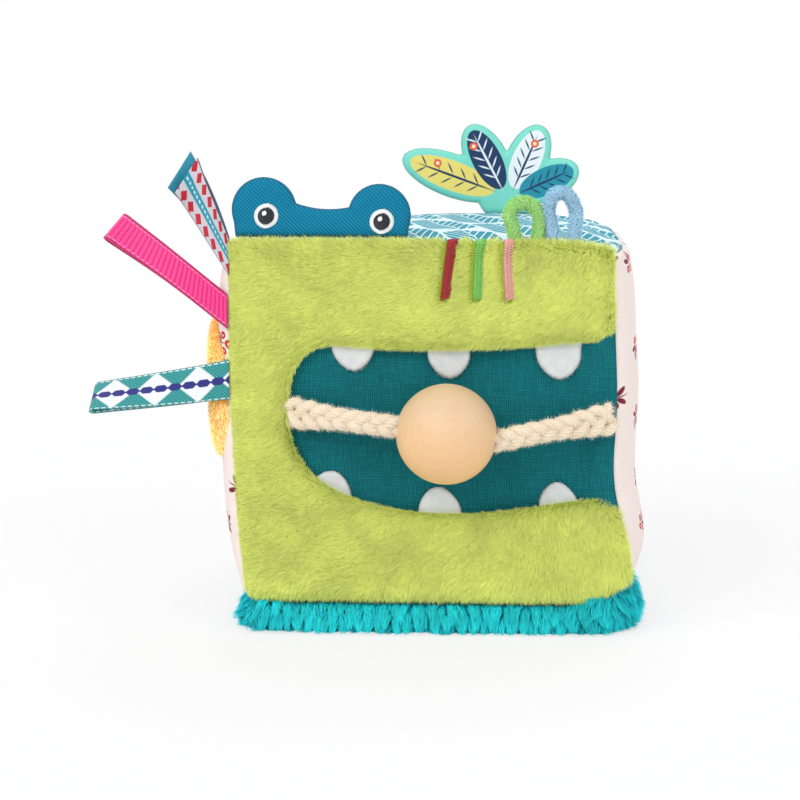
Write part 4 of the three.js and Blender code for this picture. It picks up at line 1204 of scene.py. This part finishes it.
def stand_up(bm, root):
    """Turns a flat shape upright, in millimetres, and puts its root in place."""
    for vert in bm.verts:
        x, y, z = vert.co
        vert.co = root + Vector((x, -z, y)) / 1000
    outward(bm)


# Cotton twill: matt diagonal ribs, paler on their crests than in their hollows as painted shade, and darker
# in a thin band at the rim, painted shade where the cloth turns in at its seam
twill, tree, output = new_material("teal_twill")
cloth = add(tree, "UVMap", uv_map="cloth")
edge = add(tree, "Attribute", attribute_name="edge")
wale = {
    "Vector": cloth, "Scale": diagonal_bands / 0.95, "Distortion": 0.4, "Detail": 2.0,
    "Detail Scale": 3.0
}
ribs = add(tree, "TexWave", wale, bands_direction="DIAGONAL")
weave = woven(tree, cloth, 0.45, 0.45, 0.3)
height = add(tree, "Math", {0: weave, 1: 0.45, 2: (ribs, "Fac")}, operation="MULTIPLY_ADD")
# Painted shade: the ribs' crests paler, their hollows darker
level = add(tree, "MapRange", {"Value": height, "From Max": 1.3})
tone = dyed(tree, linear("#00668c"), level, "#0a94b6")
# Painted shade: a thin band darker at the rim, where the cloth turns in at its seam
dark = add(
    tree, "MapRange",
    {"Value": (edge, "Fac"), "From Min": 0.1, "From Max": 0.9, "To Min": 0.5, "To Max": 0.0}
)
tone = dyed(tree, tone, dark, "#0a4c68")
finish_skin(tree, output, tone, 0.8, height, 0.8, 0.3, {"Specular IOR Level": 0.25})

hump_radius, hump_spacing, left_hump, right_hump = 10.6, 37.4, 8.9, 7.2
tab_width, tab_half = hump_spacing + 2 * hump_radius, 2.3
left_x, right_x = hump_radius - tab_width / 2, hump_radius + hump_spacing - tab_width / 2
outline = [(tab_width / 2 - 1.5, 0)] + arc(right_x, right_hump, hump_radius - 0.4, -20, 165, 26)
left_hump_arc = arc(left_x, left_hump, hump_radius, 12, 200, 26)
saddle = ((left_x + right_x) / 2, left_hump - 0.8)
start = Vector(outline[-1])
handles = [start.lerp(Vector(saddle), 2 / 3), Vector(left_hump_arc[0]).lerp(Vector(saddle), 2 / 3)]
outline += bezier([start, *handles, left_hump_arc[0]]) + left_hump_arc[1:] + [(1.2 - tab_width / 2, 0)]
tab_mesh = cushion(outline, 0.7, lambda d: tab_half * rounded(d, 4))
tab_root = top_root(1.6 + tab_width / 2, True)
stand_up(tab_mesh, tab_root)
tab = put_in_scene("twill_eye_tab", tab_mesh, None, [twill])
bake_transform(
    tab, "cube", "eyes", start=(tab_root.x, tab_root.y, seam_low),
    end=(tab_root.x, tab_root.y, seam_high)
)
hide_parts("eye_tab")

white_thread = thread_material("white_thread", "#e6e9e8", "#fbfcfb")
black_thread = thread_material("black_thread", "#0c0f16", "#262b36")


def satin_disc(name, middle, radius, proud, body, material):
    """A disc of satin stitch facing forward, its threads side by side and raised in the middle."""
    stitches = []
    rows = int(2 * radius / 0.3)
    for i in range(rows):
        up = -radius + 2 * radius * (i + 0.5) / rows
        reach = math.sqrt(radius**2 - up**2)
        line = []
        for share in (s / 4 for s in range(-4, 5)):
            place = Vector((reach * share, -proud * (1 - share**4) - 0.05, up + 0.12 * share))
            line.append((middle + place / 1000, 1.0))
        stitches.append(line)
    return put_in_scene(name, laid_strand(stitches, thread_section, 0.02), body, [material])


for side, across, up in (("left", left_x, left_hump), ("right", right_x, right_hump)):
    middle = tab_root + Vector((across + 0.9, -tab_half, up - 1.8)) / 1000
    ball = satin_disc(side + "_eye_stitches", middle, 3.9, 0.45, "eyes", white_thread)
    pupil = satin_disc(
        side + "_pupil_stitches", middle - Vector((0, 0.0006, 0)), 2.6, 0.4, "eyes", black_thread
    )
    shine = middle + Vector((-0.0005, -0.0010, 0.0009))
    glint = satin_disc(side + "_glint_stitches", shine, 0.7, 0.25, "eyes", white_thread)
    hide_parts(side + "_eye_white")
    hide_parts(side + "_pupil")


# Leaf tag: printed satin on wadding, cut to four leaves with a pale border and sewn into the
# rear top seam. The print is four leaves on aqua, from 22 to 34 mm long, with ribs and dots.

# Each leaf: the place of its middle, its half length and half width, and its slope in degrees
leaves = (
    (-21.5, 14.5, 20, 8.2, 160),
    (-8.5, 20.5, 14.5, 8, 118),
    (6.5, 20.5, 14, 8, 66),
    (14, 12.5, 13, 7.6, 24),
)


def leaf_reach(turn):
    """How far the tag reaches from its middle in one direction."""
    aim, reach = Vector((math.cos(turn), math.sin(turn))), 0
    for x, y, half, width, slope in leaves + ((0, 7, 12, 10, 0),):
        spin = Matrix.Rotation(-math.radians(slope), 2)
        ray, start = spin @ aim, spin @ (Vector((-1, 9)) - Vector((x, y)))
        ray, start = Vector((ray.x / half, ray.y / width)), Vector((start.x / half, start.y / width))
        a, b, c = ray.dot(ray), ray.dot(start), start.dot(start) - 1
        if b * b - a * c > 0:
            reach = max(reach, (math.sqrt(b * b - a * c) - b) / a)
    return reach


# Printed satin: a low gloss, ribbed leaves and small dots, and darker in a thin band at the sewn edge,
# painted shade where the cloth turns in
print_satin, tree, output = new_material("leaf_printed_satin")
cloth = add(tree, "UVMap", uv_map="cloth")
edge = add(tree, "Attribute", attribute_name="edge")
tone = linear("#7fdcc9")
inks = (("#f2dd74", "#17375e"), ("#17375e", "#e9eff5"), ("#eef3f6", "#17375e"), ("#1f8fa5", "#17375e"))
for (x, y, half, width, slope), (ink, rib) in zip(leaves, inks):
    turn = math.radians(slope)
    aim, side = Vector((math.cos(turn), math.sin(turn))), Vector((-math.sin(turn), math.cos(turn)))
    tone = dyed(tree, tone, blot(tree, cloth, x, y, half * 0.84, width * 0.68, turn), ink)
    tone = dyed(
        tree, tone, blot(tree, cloth, x - 1.5 * aim.x, y - 1.5 * aim.y, half * 0.72, 0.45, turn), rib
    )
    for i in range(-2, 3):
        for way in (-1, 1):
            sideways = side * way * width * 0.3 * (1 - 0.12 * abs(i))
            spot = Vector((x, y)) + aim * (i * half * 0.26 + 1.6) + sideways
            tone = dyed(
                tree, tone, blot(tree, cloth, spot.x, spot.y, width * 0.26, 0.3, turn + way * 0.8), rib
            )
for x, y in ((-27.0, 19.2), (-13.5, 25.5), (9.5, 26.5)):
    tone = dyed(tree, tone, blot(tree, cloth, x, y, 1.5, 1.5), "#f0603a")
    tone = dyed(tree, tone, blot(tree, cloth, x, y, 0.7, 0.7), "#f7e9c0")
# Painted shade: a thin band darker at the rim, where the cloth turns in at its seam
dark = add(
    tree, "MapRange",
    {"Value": (edge, "Fac"), "From Min": 0.15, "From Max": 0.55, "To Min": 0.55, "To Max": 0.0}
)
tone = dyed(tree, tone, dark, "#2c9c8f")
weave = woven(tree, cloth, 0.3, 0.3, 0.2)
finish_skin(
    tree, output, tone, 0.6, weave, 0.25, 0.1, {"Specular IOR Level": 0.3, "Sheen Weight": 0.15}
)

turns = [2 * math.pi * i / 150 for i in range(150)]
outline = [(-1 + leaf_reach(t) * math.cos(t), 9 + leaf_reach(t) * math.sin(t)) for t in turns]
outline = [(x, max(y, 0.0)) for x, y in outline]
leaf_mesh = cushion(outline, 0.7, lambda d: 1.5 * rounded(d, 3))
leaf_root = top_root(91.2, False)
stand_up(leaf_mesh, leaf_root)
leaf_tag = put_in_scene("printed_leaf_tag", leaf_mesh, None, [print_satin])
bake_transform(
    leaf_tag, "cube", "leaf", start=(leaf_root.x, leaf_root.y, seam_low),
    end=(leaf_root.x, leaf_root.y, seam_high)
)
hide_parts("leaf_tag")


# Cord loops: soft knitted cotton cord, 4 mm thick, green and blue, each bent over with both ends
# sewn into the front top seam. Its looped yarn makes it knobbly and a little hairy.
def soft_cord_material(name, low, high):
    """Looped cotton yarn: a knobbly surface, darker between its loops, where painted shade lies."""
    made, tree, output = new_material(name)
    place = add(tree, "TexCoord")
    knobs = add(tree, "TexVoronoi", {"Vector": (place, "Object"), "Scale": 1900.0}, feature="SMOOTH_F1")
    # Painted shade: the hollows between the loops darker, the knobs paler
    level = add(
        tree, "MapRange",
        {"Value": (knobs, "Distance"), "From Min": 0.1, "From Max": 0.75, "To Min": 1.0, "To Max": 0.0}
    )
    tone = dyed(tree, linear(low), level, high)
    finish_skin(tree, output, tone, 0.9, level, 0.9, 0.4, {"Specular IOR Level": 0.2})
    return made


loop_section = strand_section("loop_section", 2.0, 6, 36)
for colour, place, lean, legs, width, height, low, high in (
    ("green", 96.8, -1.3, 6.8, 9.6, 11.5, "#8fdc64", "#e2ffbe"),
    ("blue", 108.4, -1.0, 6.2, 8.7, 15.0, "#8cc8e4", "#dcf4ff"),
):
    root, leg, wide = top_root(place, True), legs / 2, width / 2
    bends = [
        (-leg, -0.08, 0), (-leg - (wide - leg) * 0.7, 0.35, 0.2), (-wide, 0.64, 0.6),
        (-wide * 0.58, 0.93, 1), (0, 1, 1)
    ]
    bends += [(-x, up, share) for x, up, share in bends[-2::-1]]
    bends = [root + Vector((x + lean * share, 0, up * height)) / 1000 for x, up, share in bends]
    route = smooth_path(bends, 90)
    cord_mesh = laid_strand([[(p, 1.0) for p in route]], loop_section, 0.009)
    yarn = soft_cord_material(colour + "_looped_cotton", low, high)
    cord = put_in_scene(colour + "_soft_loop", cord_mesh, None, [yarn])
    comb(cord, lambda v: v.normal + Vector((0, 0, -0.3)), lambda v: 1.0)
    hairs = pile_material(colour + "_yarn_fluff", low, high, 0.9, 1.1)
    blade = fibre(colour + "_yarn_fibre", 0.9, 0.16, 0.3, hairs)
    fuzz = grow_pile(colour + "_loop_fluff", cord, blade, 14.0, 1.5, 150, 0.7, 61, None)
    length = sum((b - a).length for a, b in zip(route, route[1:]))
    for piece in (cord, fuzz):
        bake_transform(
            piece, "cube", colour + "_loop", start=(root.x, root.y, seam_low),
            end=(root.x, root.y, seam_high)
        )
    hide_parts(colour + "_cord_loop")


# Ribbons: woven ribbon, 12 or 13 mm wide, laid double, sewn into the left front seam. The pink and
# the teal one are folded at the free end. The red one is cut there, so its blue reverse shows.
silky = {"Specular IOR Level": 0.4, "Sheen Weight": 0.2}


def ribbon_weave(name):
    """A ribbon's material, with the places along and across the flat ribbon, in millimetres."""
    made, tree, output = new_material(name)
    cloth = add(tree, "UVMap", uv_map="cloth")
    place = add(tree, "SeparateXYZ", {"Vector": cloth})
    return made, tree, output, cloth, (place, "X"), (place, "Y")


def repeated(tree, value, period, shift=0.0):
    """A length taken round and round: from minus half a period to half of one."""
    moved = add(tree, "Math", {0: value, 1: shift})
    return add(tree, "Math", {0: moved, 1: -period / 2, 2: period / 2}, operation="WRAP")


def diamond(tree, across, up, half, tall):
    """A diamond as a mask, from its middle: 1 inside and 0 outside."""
    x = add(tree, "Math", {0: across}, operation="ABSOLUTE")
    x = add(tree, "Math", {0: x, 1: 1 / half}, operation="MULTIPLY")
    y = add(tree, "Math", {0: up}, operation="ABSOLUTE")
    reach = add(tree, "Math", {0: y, 1: 1 / tall, 2: x}, operation="MULTIPLY_ADD")
    return add(
        tree, "MapRange",
        {"Value": reach, "From Min": 0.94, "From Max": 1.04, "To Min": 1.0, "To Max": 0.0}
    )


def stripe(tree, value, middle, half):
    """A stripe as a mask: 1 within half of the middle."""
    gap = add(tree, "Math", {0: value, 1: -middle})
    gap = add(tree, "Math", {0: gap}, operation="ABSOLUTE")
    return add(
        tree, "MapRange",
        {"Value": gap, "From Min": half - 0.08, "From Max": half + 0.08, "To Min": 1.0, "To Max": 0.0}
    )


def dashes(tree, value, middle, half, along, period, long, shift=0.0):
    """A dashed stripe as a mask. Its dashes reach this far to both sides of their middles."""
    row = stripe(tree, value, middle, half)
    cuts = stripe(tree, repeated(tree, along, period, shift), 0, long)
    return add(tree, "Math", {0: row, 1: cuts}, operation="MULTIPLY")


# Jacquard ribbon: white with two rows of red diamonds and a dashed turquoise stripe between them
red_weave, tree, output, cloth, along, across = ribbon_weave("red_diamond_weave")
height = woven(tree, cloth, 0.4, 0.5, 0.2)
# Painted shade: the gaps between the threads darker than the threads
tone = dyed(tree, linear("#cdc8d0"), height, "#f3f0f4")
for middle, shift in ((-4.3, 0.0), (4.3, 2.1)):
    offset = add(tree, "Math", {0: across, 1: -middle})
    tone = dyed(
        tree, tone, diamond(tree, repeated(tree, along, 4.2, shift), offset, 1.75, 2.0), "#c60a28"
    )
tone = dyed(tree, tone, stripe(tree, across, 0, 1.55), "#149ab2")
dash = dashes(tree, across, 0, 0.34, along, 1.7, 0.5)
tone = dyed(tree, tone, dash, "#d9eef1")
outer = add(tree, "Math", {0: across}, operation="ABSOLUTE")
tone = dyed(tree, tone, stripe(tree, outer, 6.5, 0.22), "#5f3a52")
finish_skin(tree, output, tone, 0.7, height, 0.9, 0.15, silky)

# The back of that ribbon: loose turquoise threads, streaky, paler on the threads than in the painted shade
# between them
reverse_weave, tree, output = new_material("blue_ribbon_reverse")
cloth = add(tree, "UVMap", uv_map="cloth")
height = woven(tree, cloth, 0.4, 0.4, 0.6)
tone = dyed(tree, linear("#127f9c"), height, "#4cc3d8")
finish_skin(tree, output, tone, 0.8, height, 0.9, 0.15, silky)

# Grosgrain: ribs across the ribbon, 1.6 mm apart, a satin glow, and a row of stitches by each edge
pink_weave, tree, output, cloth, along, across = ribbon_weave("pink_grosgrain")
ribs = add(tree, "TexWave", {"Vector": cloth, "Scale": bands / 1.6}, bands_direction="X")
outer = add(tree, "Math", {0: across}, operation="ABSOLUTE")
selvedge = stripe(tree, outer, 5.6, 0.55)
fine = woven(tree, cloth, 0.3, 0.45, 0.2)
height = add(tree, "Mix", {"Factor": selvedge, "A": (ribs, "Fac"), "B": fine}, data_type="FLOAT")
# Painted shade and light: the ribs paler on their crests and darker between them
level = add(tree, "MapRange", {"Value": height, "From Max": 0.6})
tone = dyed(tree, linear("#dd1266"), level, "#ff3e97")
stitch = dashes(tree, outer, 4.75, 0.16, along, 1.6, 0.5)
tone = dyed(tree, tone, stitch, "#ff9fcb")
finish_skin(tree, output, tone, 0.5, height, 0.9, 0.35, silky)

# Jacquard ribbon: teal with a pale speckle, white diamonds and a navy chain along its middle
teal_weave, tree, output, cloth, along, across = ribbon_weave("teal_diamond_weave")
height = woven(tree, cloth, 0.55, 0.55, 0.1)
turned = add(tree, "Mapping", {"Vector": cloth, "Rotation": (0, 0, 0.785)})
dots = woven(tree, turned, 0.75, 0.75, 0.05)
level = add(tree, "MapRange", {"Value": dots, "From Min": 0.45, "From Max": 0.8})
tone = dyed(tree, linear("#128a8c"), level, "#6cc9c2")
white = diamond(tree, repeated(tree, along, 14.4, 4.0), across, 7.0, 6.0)
tone = dyed(tree, tone, white, "#f2f5fb")
links = dashes(tree, across, 0, 1.2, along, 4.8, 1.35, 1.0)
knots = diamond(tree, repeated(tree, along, 4.8, 1.0), across, 2.6, 2.4)
chain = joined(tree, [links, knots, stripe(tree, across, 0, 0.3)])
chain = add(tree, "Math", {0: chain, 1: stripe(tree, across, 0, 1.2)}, operation="MULTIPLY")
tone = dyed(tree, tone, chain, "#23267f")
outer = add(tree, "Math", {0: across}, operation="ABSOLUTE")
stitch = dashes(tree, outer, 5.55, 0.2, along, 2.2, 0.75)
tone = dyed(tree, tone, stitch, "#dff1ef")
finish_skin(tree, output, tone, 0.6, height, 0.9, 0.18, silky)


def ribbon_layer(bm, uv, edges, half, side, gaps, folded):
    """One layer of a ribbon between its two edges, or both layers with the fold between them."""
    cells = bmesh.ops.create_grid(bm, x_segments=96 if folded else 48, y_segments=12, size=1)["verts"]
    upper, lower = edges
    flat = {}
    run = sum((b - a).length for a, b in zip(upper, upper[1:])) * 1000
    for vert in cells:
        p, t = vert.co.xy
        reach = 1 - abs(p) if folded else (p + 1) / 2
        way = (-1 if p < 0 else 1) if folded else side
        spot = reach * (len(upper) - 1)
        i = min(int(spot), len(upper) - 2)
        high, low = upper[i].lerp(upper[i + 1], spot - i), lower[i].lerp(lower[i + 1], spot - i)
        along, across = (upper[i + 1] - upper[i] + lower[i + 1] - lower[i]).normalized(), high - low
        face = along.cross(across).normalized()
        gap = gaps[0] + (gaps[1] - gaps[0]) * reach**3
        lift = math.sqrt(1 - max(0.0, 1 - (1 - reach) * run / gap) ** 2) if folded else 1
        vert.co = low.lerp(high, (t + 1) / 2) + face * way * lift * gap / 2000
        flat[vert] = (way * reach * run if folded else reach * run, t * half)
    laid = {f for v in cells for f in v.link_faces}
    for face in laid:
        for loop in face.loops:
            loop[uv].uv = (abs(flat[loop.vert][0]), flat[loop.vert][1])
    if side < 0:
        bmesh.ops.reverse_faces(bm, faces=list(laid))


def side_root(low, high):
    """The middle of a ribbon's root in the left front seam, in metres."""
    return stuffed(-half_width, -half_depth + root_depth, (low + high) / 2) - Vector((root_lift, 0, 0))


# Each edge: how far left of the seam and ahead of it, and how high, in millimetres
red_upper = (-1.8, 0.8, 130.6), (2.9, 2.5, 144.5), (8, 1, 156.8)
red_lower = (-1.8, 0.8, 118.5), (10.4, -4, 137), (15.8, 0, 145.1)
pink_upper = (-1.8, 0.8, 112.2), (16, 1, 126.6), (31.9, -1, 138.2)
pink_lower = (-1.8, 0.8, 100.8), (18.5, 3.2, 117), (37.8, 4.8, 130.7)
teal_upper = (-1.8, 0.8, 90.7), (16, -0.6, 87), (43.6, -5, 81.3)
teal_lower = (-1.8, 0.8, 77.7), (16, 3, 75.9), (44, 5, 73.7)
for colour, material, half, gaps, upper, lower, node in (
    ("red", red_weave, 6.5, (1.3, 2.6), red_upper, red_lower, "red_diamond_ribbon"),
    ("pink", pink_weave, 6.0, (1.3, 1.8), pink_upper, pink_lower, "pink_ribbon"),
    ("teal", teal_weave, 6.0, (1.3, 1.8), teal_upper, teal_lower, "teal_diamond_ribbon"),
):
    root = side_root(lower[0][2], upper[0][2])
    edges = []
    for edge in (upper, lower):
        places = [Vector((root.x - x / 1000, root.y - y / 1000, z / 1000)) for x, y, z in edge]
        edges.append(smooth_path(places, 40))
    length = sum((b - a).length for a, b in zip(edges[0], edges[0][1:]))
    bm = bmesh.new()
    uv = bm.loops.layers.uv.new("cloth")
    if colour == "red":
        for side in (-1, 1):
            spread = Vector((-0.0024, 0, 0.0014)) * (side > 0)
            layer = [[place + spread * (i / 39) ** 2 for i, place in enumerate(edge)] for edge in edges]
            ribbon_layer(bm, uv, layer, half, side, gaps, False)
    else:
        ribbon_layer(bm, uv, edges, half, 1, gaps, True)
        bmesh.ops.remove_doubles(bm, verts=bm.verts, dist=1e-6)
    strip = put_in_scene(colour + "_folded_ribbon", bm, None, [material, reverse_weave])
    thicken(strip, 0.00035, 0, 1 if colour == "red" else 0)
    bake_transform(strip, "cube", colour + "_tag", start=root, end=root - Vector((0.005, 0, 0)))
    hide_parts(node)


# Orange pad: short-pile velour over a thin foam, 55 mm by 48 mm with round ends, sewn down along
# its edge on the left side of the cube.
pad_y, pad_z = -33.8, 79.8

# Velour: a pale orange sheen of short fibres over a deeper orange cloth
velour_pile = pile_material("orange_velour_pile", "#ffd26c", "#fff2bc", 1.2, 1.45)
velour_cloth = woven_material("orange_velour_backing", "#f5a53c", "#ffc468", 0.5, 0.5, 0.5, 0.1, 0.95)
pad_corners = ((8.75, 5.25, 0), (-8.75, 5.25, 90), (-8.75, -5.25, 180), (8.75, -5.25, 270))
outline = [place for x, y, turn in pad_corners for place in arc(x, y, 18.75, turn, turn + 90, 14)]
pad_mesh = cushion(outline, 1.5, lambda d: 1.0 + d)
for vert in pad_mesh.verts:
    p, q, height = vert.co
    y, z = pad_y + p, pad_z + q
    if height > 0:
        rise = rounded(height - 1, 3.6)
        crown = left_bulge * (1 - (y / half_depth) ** 6) * (1 - ((z - cover_middle) / half_height) ** 6)
        vert.co = stuffed(-half_width, y, z) - Vector((rise + (left_bulge - crown) * rise, 0, 0)) / 1000
    else:
        vert.co = stuffed(-half_width, y, z) + Vector((0.3 if height < 0 else 0, 0, 0)) / 1000
outward(pad_mesh)
pad = put_in_scene("orange_velour_pad", pad_mesh, "cube", [velour_cloth])
comb(pad, lambda v: v.normal * 0.8 + Vector((0, 0.2, -0.5)), lambda v: 1.0 if v.normal.x < 0.7 else 0.0)
velour_fibre = fibre("velour_fibre", 1.3, 0.18, 0.15, velour_pile)
nap = grow_pile("orange_velour_nap", pad, velour_fibre, 12.0, 0.8, 80, 0.2, 51, "cube")
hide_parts("velour_pad")


# The box of the finished scene, in metres.
low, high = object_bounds()
